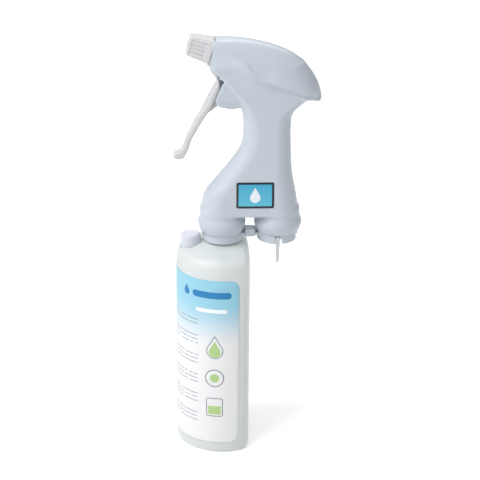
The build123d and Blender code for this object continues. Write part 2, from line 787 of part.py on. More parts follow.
# ---------------------------------------------------------------- bottle
def bottle_form(inset):
    """Turned bottle cut by its flat side, every side drawn in by inset."""
    radius = BOTTLE_R - inset
    arc_r = SHOULDER_R - inset
    cone_r = BOTTLE_R - SHOULDER_R + SHOULDER_R * sin(radians(29))
    cone_z = SIDE_TOP_Z + SHOULDER_R * cos(radians(29))
    low = 0 if inset == 0 else PUSH_UP + inset
    neck_r = NECK_R - (NECK_R - NECK_BORE_R) * (inset > 0)
    with BuildPart() as form:
        with BuildSketch(Plane(origin=(-SOCKET_X, 0, 0), x_dir=(1, 0, 0), z_dir=(0, -1, 0))):
            with BuildLine():
                centre = (BOTTLE_R - SHOULDER_R, SIDE_TOP_Z)
                start = (radius, SIDE_TOP_Z)
                middle = (centre[0] + arc_r * cos(radians(30)), centre[1] + arc_r * sin(radians(30)))
                end = (centre[0] + arc_r * sin(radians(29)), centre[1] + arc_r * cos(radians(29)))
                shoulder = ThreePointArc(start, middle, end)
                neck_z = NECK_BASE_Z - inset * 1.15
                top = NECK_TOP_Z if inset == 0 else NECK_TOP_Z + 1
                Polyline(
                    shoulder @ 1,
                    (neck_r, neck_z),
                    (neck_r, top),
                    (0, top),
                    (0, low),
                    (radius - BASE_EDGE, low),
                    (radius, low + BASE_EDGE),
                    start,
                )
            make_face()
        revolve(axis=Axis((-SOCKET_X, 0, 0), (0, 0, 1)))
        with BuildSketch(Plane.XY):
            with Locations((BOTTLE_FLAT_X - inset + 30, 0)):
                Rectangle(60, 100)
        extrude(amount=NECK_BASE_Z - 0.5, mode=Mode.SUBTRACT)
    return form.part


def make_bottle():
    """Blown bottle: D-shaped, with a neck, a filler spout, a pocket for the key and hinge lugs."""
    outer = bottle_form(0)
    inner = bottle_form(BOTTLE_WALL)
    with BuildPart() as bottle:
        add(outer)
        # filler spout and the lugs of the cap's hinge
        with BuildSketch(Plane.XY.offset(CAP_Z - 8)):
            with Locations((CAP_X, 0)):
                Circle(SPOUT_R)
        extrude(amount=SPOUT_TOP_Z - CAP_Z + 8)
        for side in (-1, 1):
            with BuildSketch(Plane.XZ.offset(side * 2.3 - 0.7)):
                with Locations(CAP_HINGE):
                    Circle(1.3)
                with Locations((CAP_HINGE[0] + 0.6, CAP_HINGE[1] - 1.2)):
                    Rectangle(2.4, 2.4)
            extrude(amount=1.4)
        add(inner, mode=Mode.SUBTRACT)
        with BuildSketch(Plane.XY.offset(CAP_Z - 8)):
            with Locations((CAP_X, 0)):
                Circle(SPOUT_R - BOTTLE_WALL)
        extrude(amount=SPOUT_TOP_Z - CAP_Z + 9, mode=Mode.SUBTRACT)
        # closed pocket for the index prong
        with BuildPart(mode=Mode.PRIVATE) as pocket:
            with BuildSketch(Plane.XY.offset(PRONG_TIP_Z - 2.4)):
                with Locations((-SOCKET_X, PRONG_Y[0] + 0.8)):
                    Circle(KEY_POCKET_R + BOTTLE_WALL)
            extrude(amount=20)
            add(outer, mode=Mode.INTERSECT)
        add(pocket.part)
        with BuildSketch(Plane.XY.offset(PRONG_TIP_Z - 1.2)):
            with Locations((-SOCKET_X, PRONG_Y[0] + 0.8)):
                Circle(KEY_POCKET_R)
        extrude(amount=20, mode=Mode.SUBTRACT)
        # recess under the base
        with BuildSketch(Plane.XY):
            with Locations((-SOCKET_X, 0)):
                Circle(BOTTLE_R - PUSH_UP_INSET)
            with Locations((BOTTLE_FLAT_X - PUSH_UP_INSET + 20, 0)):
                Rectangle(40, 80, mode=Mode.SUBTRACT)
        extrude(amount=PUSH_UP, mode=Mode.SUBTRACT)
        with BuildSketch(Plane.XZ.offset(-6)):
            with Locations(CAP_HINGE):
                Circle(CAP_PIN_R + GAP)
        extrude(amount=12, mode=Mode.SUBTRACT)
    return bottle


def make_fill_cap():
    """Flip cap over the filler spout, hinged at its outer edge."""
    with BuildPart() as cap:
        with BuildSketch(Plane.XY.offset(CAP_Z)):
            with Locations((CAP_X, 0)):
                Circle(CAP_R)
        extrude(amount=CAP_TOP_Z - CAP_Z)
        fillet(cap.edges().group_by(Axis.Z)[-1], radius=2.2)
        with BuildSketch(Plane.XY.offset(CAP_Z)):
            with Locations((CAP_X, 0)):
                Circle(CAP_R - 1.2)
        extrude(amount=CAP_TOP_Z - CAP_Z - 1.4, mode=Mode.SUBTRACT)
        with BuildSketch(Plane.XZ.offset(-1.4)):
            with Locations(CAP_HINGE):
                Circle(KNUCKLE_R)
            with BuildLine():
                Polyline(
                    (CAP_HINGE[0] - KNUCKLE_R, CAP_HINGE[1]),
                    (CAP_HINGE[0] + 1.2, CAP_HINGE[1] + 0.5),
                    (CAP_HINGE[0] + 2.2, CAP_HINGE[1] + 3.6),
                    (CAP_HINGE[0] + 1.2, CAP_HINGE[1] + 3.6),
                    close=True,
                )
            make_face()
        extrude(amount=2.8)
        add(bottle_form(-0.15), mode=Mode.SUBTRACT)
        with BuildSketch(Plane.XZ.offset(-6)):
            with Locations(CAP_HINGE):
                Circle(CAP_PIN_R + RUN)
        extrude(amount=12, mode=Mode.SUBTRACT)
    return cap


def make_fill_cap_pin():
    """Hinge pin of the filler cap."""
    with BuildPart() as pin:
        with BuildSketch(Plane.XZ.offset(-3.2)):
            with Locations(CAP_HINGE):
                Circle(CAP_PIN_R)
        extrude(amount=6.4)
    return pin


def make_neck_insert():
    """Plug in the neck that holds the dip tube and receives the socket's spigot."""
    with BuildPart() as insert:
        with BuildSketch(Plane.XY.offset(INSERT_LOW_Z)):
            with Locations((-SOCKET_X, 0)):
                Circle(NECK_BORE_R - GAP)
        extrude(amount=NECK_TOP_Z + GAP - INSERT_LOW_Z)
        with BuildSketch(Plane.XY.offset(NECK_TOP_Z + GAP)):
            with Locations((-SOCKET_X, 0)):
                Circle(NECK_R - 0.2)
        extrude(amount=1.1)
        with BuildSketch(Plane.XY.offset(SPIGOT_Z - 0.4)):
            with Locations((-SOCKET_X, 0)):
                Circle(SPIGOT_R + 0.15)
        extrude(amount=10, mode=Mode.SUBTRACT)
        with BuildSketch(Plane.XY.offset(INSERT_LOW_Z)):
            with Locations((-SOCKET_X, 0)):
                Circle(TUBE_R + GAP)
        extrude(amount=4.0, mode=Mode.SUBTRACT)
        with BuildSketch(Plane.XY.offset(INSERT_LOW_Z)):
            with Locations((-SOCKET_X, 0)):
                Circle(TUBE_BORE_R)
        extrude(amount=10, mode=Mode.SUBTRACT)
    return insert


def make_dip_tube():
    """Slightly bowed tube from the neck insert down to the base."""
    start = (-SOCKET_X, 0, INSERT_LOW_Z + 3.8)
    with BuildPart() as tube:
        with BuildLine() as path:
            Line(start, (start[0], 0, INSERT_LOW_Z))
            Spline(
                (start[0], 0, INSERT_LOW_Z),
                (-16.0, 0, 90),
                (-22.0, 0, 6.0),
                tangents=((0, 0, -1), (-0.2, 0, -1)),
            )
        with BuildSketch(Plane(origin=start, z_dir=(0, 0, -1))):
            Circle(TUBE_R)
            Circle(TUBE_BORE_R, mode=Mode.SUBTRACT)
        sweep(path=path.wire())
    return tube


# ---------------------------------------------------------------- stickers
def make_bottle_label():
    """Paper label round the user's left side and front of the bottle."""
    low, high = LABEL_Z
    with BuildPart() as label:
        with BuildSketch(Plane.XY.offset(low)):
            with BuildLine():
                inner = CenterArc((-SOCKET_X, 0), BOTTLE_R + 0.03, LABEL_START, -LABEL_SWEEP)
                outer = CenterArc((-SOCKET_X, 0), BOTTLE_R + 0.03 + STICKER, LABEL_START, -LABEL_SWEEP)
                Line(inner @ 0, outer @ 0)
                Line(inner @ 1, outer @ 1)
            make_face()
        extrude(amount=high - low)
    return label


def make_badge():
    """Thin sticker that follows the user's left side of the handle."""
    with BuildPart() as badge:
        with BuildSketch(Plane.XZ.offset(8)):
            with Locations(((BADGE_X[0] + BADGE_X[1]) / 2, (BADGE_Z[0] + BADGE_Z[1]) / 2)):
                RectangleRounded(BADGE_X[1] - BADGE_X[0], BADGE_Z[1] - BADGE_Z[0], 0.8)
        extrude(amount=12)
        add(handle_form(-0.03 - STICKER), mode=Mode.INTERSECT)
        add(handle_form(-0.03), mode=Mode.SUBTRACT)
    return badge


os.makedirs("parts", exist_ok=True)

whole_head = hollow_head()
finish(shell(whole_head, -1), "left_shell")
finish(shell(whole_head, 1), "right_shell")
finish(make_pump_body(), "pump_body")
finish(make_piston(), "piston")
finish(make_piston_seal(), "piston_seal")
finish(make_trigger(), "trigger")
finish(make_trigger_pin(), "trigger_pin")
finish(make_nozzle_cap(), "nozzle_cap")
finish(make_spinner(), "spinner")
finish(make_outlet_valve(), "outlet_valve")
finish(make_manifold(), "manifold")
finish(make_feed_tube(-1), "front_feed_tube")
finish(make_feed_tube(1), "rear_feed_tube")
finish(make_inlet_ball(-1), "front_inlet_ball")
finish(make_inlet_ball(1), "rear_inlet_ball")
finish(make_socket_frame(), "socket_frame")
finish(make_latch_slide(), "latch_slide")
finish(make_return_spring(), "return_spring")
finish(make_latch_spring(), "latch_spring")
finish(make_index_prong(-1), "front_index_prong")
finish(make_index_prong(1), "rear_index_prong")
finish(make_neck_seal(-1), "front_neck_seal")
finish(make_neck_seal(1), "rear_neck_seal")
finish(make_bottle(), "bottle")
finish(make_fill_cap(), "fill_cap")
finish(make_fill_cap_pin(), "fill_cap_pin")
finish(make_neck_insert(), "neck_insert")
finish(make_dip_tube(), "dip_tube")
finish(make_bottle_label(), "bottle_label")
finish(make_badge(), "badge")
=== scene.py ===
import json
import math

import bmesh
import bpy
import numpy as np
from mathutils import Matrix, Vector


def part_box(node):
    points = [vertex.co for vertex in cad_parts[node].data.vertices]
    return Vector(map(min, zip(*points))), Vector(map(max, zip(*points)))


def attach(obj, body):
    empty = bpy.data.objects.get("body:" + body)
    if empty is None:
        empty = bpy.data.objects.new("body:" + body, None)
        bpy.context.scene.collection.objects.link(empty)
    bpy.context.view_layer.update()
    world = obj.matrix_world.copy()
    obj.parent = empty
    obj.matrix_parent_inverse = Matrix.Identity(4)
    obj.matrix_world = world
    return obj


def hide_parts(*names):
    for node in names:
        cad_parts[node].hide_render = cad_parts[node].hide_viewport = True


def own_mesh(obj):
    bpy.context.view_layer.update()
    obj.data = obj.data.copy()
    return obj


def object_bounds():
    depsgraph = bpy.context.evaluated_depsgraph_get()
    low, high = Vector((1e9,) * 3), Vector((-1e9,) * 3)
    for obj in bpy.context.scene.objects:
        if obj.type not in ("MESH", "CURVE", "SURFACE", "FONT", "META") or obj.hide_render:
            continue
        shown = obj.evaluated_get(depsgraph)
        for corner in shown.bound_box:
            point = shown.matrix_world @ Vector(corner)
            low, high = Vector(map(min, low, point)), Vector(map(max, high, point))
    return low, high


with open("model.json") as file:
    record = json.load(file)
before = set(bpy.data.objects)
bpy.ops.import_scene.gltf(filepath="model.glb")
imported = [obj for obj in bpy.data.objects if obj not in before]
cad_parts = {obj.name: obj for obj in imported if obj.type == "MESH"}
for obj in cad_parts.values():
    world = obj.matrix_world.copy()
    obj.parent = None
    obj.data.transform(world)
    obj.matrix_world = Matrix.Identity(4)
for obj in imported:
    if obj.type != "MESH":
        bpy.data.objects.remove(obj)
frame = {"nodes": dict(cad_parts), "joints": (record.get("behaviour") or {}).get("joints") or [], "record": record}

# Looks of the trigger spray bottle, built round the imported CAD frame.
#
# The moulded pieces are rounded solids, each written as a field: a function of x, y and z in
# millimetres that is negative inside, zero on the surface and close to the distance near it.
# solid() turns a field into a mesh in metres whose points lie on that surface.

import openvdb
from mathutils import Matrix, Vector

CAD_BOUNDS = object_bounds()
MM = 0.001


# ---------------------------------- places taken from the frame
def low(node):
    """Lowest corner of a CAD node in millimetres."""
    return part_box(node)[0] / MM


def high(node):
    """Highest corner of a CAD node in millimetres."""
    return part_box(node)[1] / MM


def middle(node):
    """Centre of a CAD node in millimetres."""
    return (low(node) + high(node)) / 2


JOINTS = {joint["name"]: joint for joint in frame["joints"]}
SOCKET_X = middle("rear_neck_seal").x
SKIRT_R = high("socket_frame").y
SKIRT_Z = low("socket_frame").z
CHAMBER_TOP_Z = high("socket_frame").z
BOTTLE_X = middle("neck_insert").x
BOTTLE_R = high("bottle").y
BOTTLE_FLAT_X = high("bottle").x
NECK_TOP_Z = high("bottle").z
NECK_R = (high("front_neck_seal").x - low("front_neck_seal").x) / 2
PIVOT = Vector(JOINTS["trigger_pull"]["pos_m"]) / MM
NOZZLE_ROOT = Vector(JOINTS["nozzle_turn"]["pos_m"]) / MM
NOZZLE_AXIS = Vector(JOINTS["nozzle_turn"]["axis"]).normalized()
NOZZLE_UP = Vector((NOZZLE_AXIS.z, 0, -NOZZLE_AXIS.x))
PISTON_Z = middle("piston").z
HINGE_X, _, HINGE_Z = middle("fill_cap_pin")
CAP_X = middle("fill_cap").x


def nozzle_frame(x, z):
    """Place along the nozzle's axis, forwards from its root, and above that axis."""
    u, w = x - NOZZLE_ROOT.x, z - NOZZLE_ROOT.z
    along = u * NOZZLE_AXIS.x + w * NOZZLE_AXIS.z
    above = u * NOZZLE_UP.x + w * NOZZLE_UP.z
    return along, above


# ---------------------------------- field tools
def smooth_max(a, b, width):
    """The larger of two fields, the corner between them rounded over width."""
    share = np.clip(0.5 + 0.5 * (a - b) / width, 0, 1)
    return b + (a - b) * share + width * share * (1 - share)


def smooth_min(a, b, width):
    """The smaller of two fields, the corner between them filled over width."""
    return -smooth_max(-a, -b, width)


def cut_out(field, openings, width):
    """A field with openings taken out of it, their rims rounded over width."""
    for opening in openings:
        field = smooth_max(field, -opening, width)
    return field


def ramp(value, length):
    """0 where the value is negative, rising to 1 over a length."""
    return np.clip(value / length, 0, 1)


def soft_ramp(value, length):
    """A ramp that starts and ends gently."""
    t = ramp(value, length)
    return t * t * (3 - 2 * t)


def bell(distance, width):
    """1 at no distance, falling away over a width."""
    return np.exp(-((distance / width) ** 2))


def rounded_rectangle(u, v, half_u, half_v, radius):
    """Field of a rectangle with round corners, centred on u = v = 0."""
    du = np.abs(u) - (half_u - radius)
    dv = np.abs(v) - (half_v - radius)
    outside = np.hypot(np.maximum(du, 0), np.maximum(dv, 0))
    return outside + np.minimum(np.maximum(du, dv), 0) - radius


def polygon(u, v, points):
    """Field of a closed polygon."""
    best = np.full(np.broadcast(u, v).shape, 1e9)
    inside = np.zeros(best.shape, bool)
    for (au, av), (bu, bv) in zip(points, points[1:] + points[:1]):
        eu, ev = bu - au, bv - av
        wu, wv = u - au, v - av
        along = np.clip((wu * eu + wv * ev) / (eu * eu + ev * ev), 0, 1)
        best = np.minimum(best, (wu - eu * along) ** 2 + (wv - ev * along) ** 2)
        crosses = (av > v) != (bv > v)
        if ev:
            inside ^= crosses & (wu < eu * wv / ev)
    return np.where(inside, -1, 1) * np.sqrt(best)


def curve(points, steps):
    """Smooth line through the points, as a list of points."""
    given = np.array(points, float)
    knots = np.concatenate([[0], np.cumsum(np.hypot(*np.diff(given, axis=0).T))])
    at = np.linspace(0, knots[-1], steps)
    return [tuple(p) for p in np.stack([through(knots, given[:, i], at) for i in (0, 1)], 1)]


def arc(centre, radius, start, end, steps=10):
    """Points of an arc between two angles in degrees."""
    angles = np.radians(np.linspace(start, end, steps))
    return [(centre[0] + radius * math.cos(a), centre[1] + radius * math.sin(a)) for a in angles]


def through(knots, values, at):
    """Smooth curve through the values at the knots, level beyond the ends."""
    knots, values = np.array(knots, float), np.array(values, float)
    slopes = np.gradient(values, knots)
    at = np.clip(at, knots[0], knots[-1])
    i = np.clip(np.searchsorted(knots, at) - 1, 0, len(knots) - 2)
    step = knots[i + 1] - knots[i]
    t = (at - knots[i]) / step
    return (
        values[i] * (1 + 2 * t) * (1 - t) ** 2
        + slopes[i] * step * t * (1 - t) ** 2
        + values[i + 1] * t * t * (3 - 2 * t)
        - slopes[i + 1] * step * t * t * (1 - t)
    )


def sections(rows, at):
    """Smooth curves through a table's columns, looked up by its first column."""
    knots, *columns = zip(*rows)
    return [through(knots, column, at) for column in columns]


def gradient(field, points, step=0.02):
    """Field values and slopes at points, an array of rows x, y, z."""
    x, y, z = points.T
    slopes = []
    for dx, dy, dz in ((step, 0, 0), (0, step, 0), (0, 0, step)):
        ahead = field(x + dx, y + dy, z + dz)
        behind = field(x - dx, y - dy, z - dz)
        slopes.append((ahead - behind) / (2 * step))
    return field(x, y, z), np.stack(slopes, 1)


def solid(name, field, lowest, highest, voxel):
    """Mesh object of a field's surface. lowest and highest are corners of a box round it in mm."""
    lowest = np.array(lowest, float) - 2 * voxel
    counts = np.ceil((np.array(highest) - lowest) / voxel).astype(int) + 3
    axes = [lowest[i] + voxel * np.arange(counts[i]) for i in range(3)]
    x, y, z = axes[0][:, None, None], axes[1][None, :, None], axes[2][None, None, :]
    values = np.clip(field(x, y, z), -3 * voxel, 3 * voxel).astype(np.float32)
    grid = openvdb.FloatGrid(3 * voxel)
    grid.copyFromArray(np.array(np.broadcast_to(values, counts)))
    points, quads = grid.convertToQuads()
    points = lowest + voxel * np.array(points, float)
    for _ in range(3):
        value, slope = gradient(field, points)
        size = np.maximum((slope**2).sum(1), 0.05)
        move = np.clip(value / size, -voxel, voxel)
        points = points - move[:, None] * slope
    mesh = smooth_mesh(name, points, np.array(quads).tolist())
    first = mesh.polygons[0]
    _, out = gradient(field, np.array([tuple(first.center)]) / MM)
    if Vector(out[0]).dot(first.normal) < 0:
        mesh.flip_normals()
    return place(name, mesh)


def smooth_mesh(name, points, faces):
    """Smooth-shaded mesh of points in millimetres."""
    mesh = bpy.data.meshes.new(name)
    mesh.from_pydata((np.array(points) * MM).tolist(), [], faces)
    mesh.validate()
    mesh.shade_smooth()
    return mesh


def place(name, mesh):
    """Object of a mesh, in the scene."""
    piece = bpy.data.objects.new(name, mesh)
    bpy.context.scene.collection.objects.link(piece)
    return piece


def sheet(name, place_at, print_at, columns, rows, thickness):
    """Thin sheet: place_at(i, j) gives a point in mm, print_at(i, j) its place on the print, 0 to 1."""
    points = [place_at(i / columns, j / rows) for j in range(rows + 1) for i in range(columns + 1)]
    faces = []
    for j in range(rows):
        for i in range(columns):
            a = j * (columns + 1) + i
            faces.append((a, a + 1, a + columns + 2, a + columns + 1))
    mesh = smooth_mesh(name, points, faces)
    layer = mesh.uv_layers.new(name="print")
    for loop in mesh.loops:
        j, i = divmod(loop.vertex_index, columns + 1)
        layer.data[loop.index].uv = print_at(i / columns, j / rows)
    piece = place(name, mesh)
    skin = piece.modifiers.new("thickness", "SOLIDIFY")
    skin.thickness = thickness * MM
    skin.offset = 1
    skin.use_even_offset = True
    return piece


# ---------------------------------- material tools
class Graph:
    """Node graph of one material."""

    def __init__(self, name):
        self.material = bpy.data.materials.new(name)
        self.material.use_nodes = True
        self.tree = self.material.node_tree
        self.tree.nodes.clear()

    def node(self, kind, **inputs):
        """New node with inputs given by name, values or sockets. Spaces are written as _."""
        made = self.tree.nodes.new(kind)
        for name, value in inputs.items():
            self.feed(made.inputs[name.replace("_", " ")], value)
        return made

    def feed(self, socket, value):
        """Link or set one input."""
        if isinstance(value, bpy.types.NodeSocket):
            self.tree.links.new(value, socket)
        else:
            socket.default_value = value

    def math(self, operation, *values):
        """Result of a math node."""
        made = self.tree.nodes.new("ShaderNodeMath")
        made.operation = operation
        for socket, value in zip(made.inputs, values):
            self.feed(socket, value)
        return made.outputs[0]

    def mix(self, share, first, second):
        """Colour between two colours."""
        made = self.tree.nodes.new("ShaderNodeMix")
        made.data_type = "RGBA"
        self.feed(made.inputs["Factor"], share)
        self.feed(made.inputs["A"], first)
        self.feed(made.inputs["B"], second)
        return made.outputs["Result"]

    def scaled(self, value, start, end):
        """A 0 to 1 value stretched to run from start to end."""
        made = self.node("ShaderNodeMapRange", Value=value, To_Min=start, To_Max=end)
        return made.outputs["Result"]

    def noise(self, size_mm, detail=2.0, roughness=0.5):
        """Noise value with features of a size, fixed to the object."""
        where = self.node("ShaderNodeTexCoord").outputs["Object"]
        made = self.node("ShaderNodeTexNoise", Vector=where, Scale=1 / (size_mm * MM), Detail=detail)
        self.feed(made.inputs["Roughness"], roughness)
        return made.outputs["Fac"]

    def bump(self, height, depth_mm, below=None):
        """Normal bent by a height map, on top of another normal if one is given."""
        made = self.node("ShaderNodeBump", Height=height, Distance=depth_mm * MM, Strength=1.0)
        if below is not None:
            self.feed(made.inputs["Normal"], below)
        return made.outputs["Normal"]

    def varied(self, size_mm, detail, start, end):
        """Noise stretched to run from start to end."""
        return self.scaled(self.noise(size_mm, detail), start, end)

    def finish(self, shader):
        """Set the surface and return the material."""
        out = self.tree.nodes.new("ShaderNodeOutputMaterial")
        self.tree.links.new(shader, out.inputs["Surface"])
        return self.material


def tone(red, green, blue):
    """Linear colour of 0 to 255 screen values."""
    def linear(value):
        share = value / 255
        return share / 12.92 if share <= 0.04045 else ((share + 0.055) / 1.055) ** 2.4
    return (linear(red), linear(green), linear(blue), 1.0)


def darker(colour, share):
    """A colour with its light scaled down to a share."""
    return [channel * share for channel in colour[:3]] + [1]


def moulded_plastic(name, colour, roughness, waviness_mm):
    """Satin moulded plastic: a fine spark-eroded grain over faint sink waves."""
    graph = Graph(name)
    shade = graph.mix(graph.varied(30, 3, 0, 1), colour, darker(colour, 0.955))
    waves = graph.bump(graph.noise(9, 1), waviness_mm)
    grain = graph.bump(graph.noise(0.35, 3, 0.6), 0.012, waves)
    made = graph.node("ShaderNodeBsdfPrincipled", Base_Color=shade, Normal=grain)
    graph.feed(made.inputs["Roughness"], graph.varied(4, 4, roughness - 0.07, roughness + 0.07))
    made.inputs["Subsurface Weight"].default_value = 0.12
    made.inputs["Subsurface Radius"].default_value = (1.0, 1.0, 1.0)
    made.inputs["Subsurface Scale"].default_value = 1.2 * MM
    made.inputs["Specular IOR Level"].default_value = 0.45
    return graph.finish(made.outputs[0])


def translucent_plastic(name, colour, clear_share, glow_share, roughness):
    """Milky blown plastic: light comes through the wall, and shapes behind it show faintly."""
    graph = Graph(name)
    streaks = graph.noise(14, 4, 0.6)
    shade = graph.mix(streaks, colour, darker(colour, 0.94))
    waves = graph.bump(graph.noise(11, 1), 0.10)
    grain = graph.bump(graph.noise(0.5, 2), 0.010, waves)
    body = graph.node("ShaderNodeBsdfPrincipled", Base_Color=shade, Normal=grain)
    graph.feed(body.inputs["Roughness"], graph.varied(6, 3, roughness - 0.06, roughness + 0.08))
    glow = graph.node("ShaderNodeBsdfTranslucent", Color=shade, Normal=grain)
    faint_tint = [channel * 0.5 + 0.5 for channel in colour[:3]] + [1]
    through_wall = graph.node("ShaderNodeBsdfTransparent", Color=faint_tint)
    milky = graph.node("ShaderNodeMixShader", Fac=glow_share)
    graph.tree.links.new(body.outputs[0], milky.inputs[1])
    graph.tree.links.new(glow.outputs[0], milky.inputs[2])
    behind = graph.node("ShaderNodeNewGeometry").outputs["Backfacing"]
    clear = graph.math("MAXIMUM", clear_share, graph.math("MULTIPLY", behind, 0.9))
    whole = graph.node("ShaderNodeMixShader", Fac=clear)
    graph.tree.links.new(milky.outputs[0], whole.inputs[1])
    graph.tree.links.new(through_wall.outputs[0], whole.inputs[2])
    return graph.finish(whole.outputs[0])


def soft_rubber(name):
    """Dark rubber with a fine matt grain."""
    graph = Graph(name)
    shade = graph.mix(graph.noise(2, 3), (0.014, 0.014, 0.016, 1), (0.03, 0.03, 0.033, 1))
    grain = graph.bump(graph.noise(0.2, 3), 0.02)
    made = graph.node("ShaderNodeBsdfPrincipled", Base_Color=shade, Normal=grain)
    graph.feed(made.inputs["Roughness"], graph.varied(1.5, 2, 0.6, 0.8))
    return graph.finish(made.outputs[0])


def bright_steel(name):
    """Drawn stainless steel with fine lines along its length."""
    graph = Graph(name)
    where = graph.node("ShaderNodeTexCoord").outputs["Object"]
    along = graph.node("ShaderNodeMapping", Vector=where, Scale=(400, 6000, 6000)).outputs[0]
    lines = graph.node("ShaderNodeTexNoise", Vector=along, Scale=1.0, Detail=2.0).outputs["Fac"]
    shade = graph.mix(lines, (0.52, 0.53, 0.55, 1), (0.66, 0.67, 0.69, 1))
    made = graph.node("ShaderNodeBsdfPrincipled", Base_Color=shade, Normal=graph.bump(lines, 0.006))
    made.inputs["Metallic"].default_value = 1.0
    graph.feed(made.inputs["Roughness"], graph.scaled(lines, 0.18, 0.34))
    return graph.finish(made.outputs[0])


# ---------------------------------- printed sheets
class Print(Graph):
    """Graph of a printed film: shapes are masks, 1 inside, in millimetres on the sheet."""

    def __init__(self, name, width, height):
        super().__init__(name)
        where = self.node("ShaderNodeUVMap")
        where.uv_map = "print"
        parts = self.node("ShaderNodeSeparateXYZ", Vector=where.outputs[0])
        self.u = self.math("MULTIPLY", parts.outputs["X"], width)
        self.v = self.math("MULTIPLY", parts.outputs["Y"], height)

    def inside(self, distance, soft=0.12):
        """Mask of a distance: 1 where it is negative."""
        made = self.node("ShaderNodeMapRange", Value=distance, From_Min=soft, From_Max=-soft)
        return made.outputs["Result"]

    def box(self, u, v, half_u, half_v, radius=0.0):
        """Distance to a rectangle with round corners."""
        from_u = self.math("ABSOLUTE", self.math("SUBTRACT", self.u, u))
        from_v = self.math("ABSOLUTE", self.math("SUBTRACT", self.v, v))
        du = self.math("SUBTRACT", from_u, half_u - radius)
        dv = self.math("SUBTRACT", from_v, half_v - radius)
        if not radius:
            return self.math("MAXIMUM", du, dv)
        reach = self.math("POWER", self.math("MAXIMUM", du, 0.0), 2.0)
        rise = self.math("POWER", self.math("MAXIMUM", dv, 0.0), 2.0)
        round_part = self.math("SQRT", self.math("ADD", reach, rise))
        flat_part = self.math("MINIMUM", self.math("MAXIMUM", du, dv), 0.0)
        return self.math("SUBTRACT", self.math("ADD", round_part, flat_part), radius)

    def disc(self, u, v, radius):
        """Distance to a disc."""
        du = self.math("POWER", self.math("SUBTRACT", self.u, u), 2.0)
        dv = self.math("POWER", self.math("SUBTRACT", self.v, v), 2.0)
        return self.math("SUBTRACT", self.math("SQRT", self.math("ADD", du, dv)), radius)

    def drop(self, u, v, radius):
        """Distance to a water drop, its round end at u, v and its point upwards."""
        du = self.math("ABSOLUTE", self.math("SUBTRACT", self.u, u))
        dv = self.math("SUBTRACT", self.v, v)
        side = self.math("ADD", self.math("MULTIPLY", du, 0.87), self.math("MULTIPLY", dv, 0.5))
        cone = self.math("SUBTRACT", side, radius)
        above = self.math("MULTIPLY", self.math("SUBTRACT", dv, radius * 0.5), -1.0)
        top = self.math("MAXIMUM", cone, above)
        return self.math("MINIMUM", self.disc(u, v, radius), top)

    def ring(self, distance, half_line):
        """Distance to the outline of a shape."""
        return self.math("SUBTRACT", self.math("ABSOLUTE", distance), half_line)

    def paint(self, below, distance, colour):
        """A shape's colour laid over what is below it."""
        return self.mix(self.inside(distance), below, colour)

    def film(self, colour, roughness, depth_mm):
        """Printed film with a faint orange peel."""
        peel = self.bump(self.noise(1.2, 2), depth_mm)
        made = self.node("ShaderNodeBsdfPrincipled", Base_Color=colour, Normal=peel)
        self.feed(made.inputs["Roughness"], self.varied(5, 3, roughness - 0.06, roughness + 0.06))
        return self.finish(made.outputs[0])


# ---------------------------------- head
WALL = 1.6
# Handle sections: height, front X, rear X, half width
HANDLE = [
    (189.0, -36.9, 36.6, 16.4),
    (204.0, -33.9, 34.4, 15.8),
    (217.0, -23.9, 31.8, 14.9),
    (229.0, -14.6, 30.4, 13.8),
    (241.0, -7.4, 29.9, 12.9),
    (256.0, -5.6, 29.6, 12.4),
    (268.0, -6.8, 31.4, 12.1),
    (276.5, -9.9, 38.6, 11.8),
    (286.0, -15.7, 40.0, 11.2),
    (302.0, -29.8, 34.0, 8.6),
]
HANDLE_LOW_Z = HANDLE[0][0]
HANDLE_HIGH_Z = HANDLE[-1][0]
# Roundness of the handle's corners: height, corner radius as a share of the half width
HANDLE_CORNER = [(262.0, 0.94), (290.0, 0.45)]
# Hood sections: X, underside, line of greatest width, top, half width, squareness
HOOD = [
    (-30.0, 306.0, 317.0, 323.3, 8.4, 6.0),
    (-14.0, 300.5, 311.0, 323.4, 12.0, 3.4),
    (-4.0, 296.0, 304.5, 322.7, 14.4, 2.7),
    (6.0, 291.5, 299.5, 321.0, 16.2, 2.4),
    (20.0, 287.0, 293.5, 316.8, 17.4, 2.3),
    (35.0, 281.5, 287.5, 308.4, 16.0, 2.3),
    (45.0, 278.0, 282.8, 297.4, 12.2, 2.3),
    (49.6, 277.2, 280.2, 288.6, 8.6, 2.2),
    (51.6, 278.0, 279.6, 282.2, 4.0, 2.0),
]
HOOD_END_X = 51.5
TIP_WALL = 5.0              # the hood's rear tip is solid over this length
# Relief on the hood's flanks. Lines are X and height, widths are those of a bell curve.
CREASE = [(0.0, 293.6), (14.0, 290.4), (28.4, 286.6), (49.2, 281.2)]
CREASE_START_X = CREASE[0][0]
CREASE_DEPTH = 1.2
CREASE_WIDTH = 2.2
RIM_START_X = 24.0
RIM_DROP = 2.6              # how far the rim lies below the crease
RIM_HEIGHT = 0.9
RIM_WIDTH = 1.5
RIDGE = [(-30.0, 321.0), (-11.5, 312.0), (-4.0, 305.5), (1.0, 300.0)]
RIDGE_END_X = RIDGE[-1][0] + 4
RIDGE_HEIGHT = 1.2
RIDGE_WIDTH = 4.0
DIMPLE = (10.0, 301.5)
DIMPLE_DEPTH = 0.7
DIMPLE_WIDTH = math.sqrt(40)
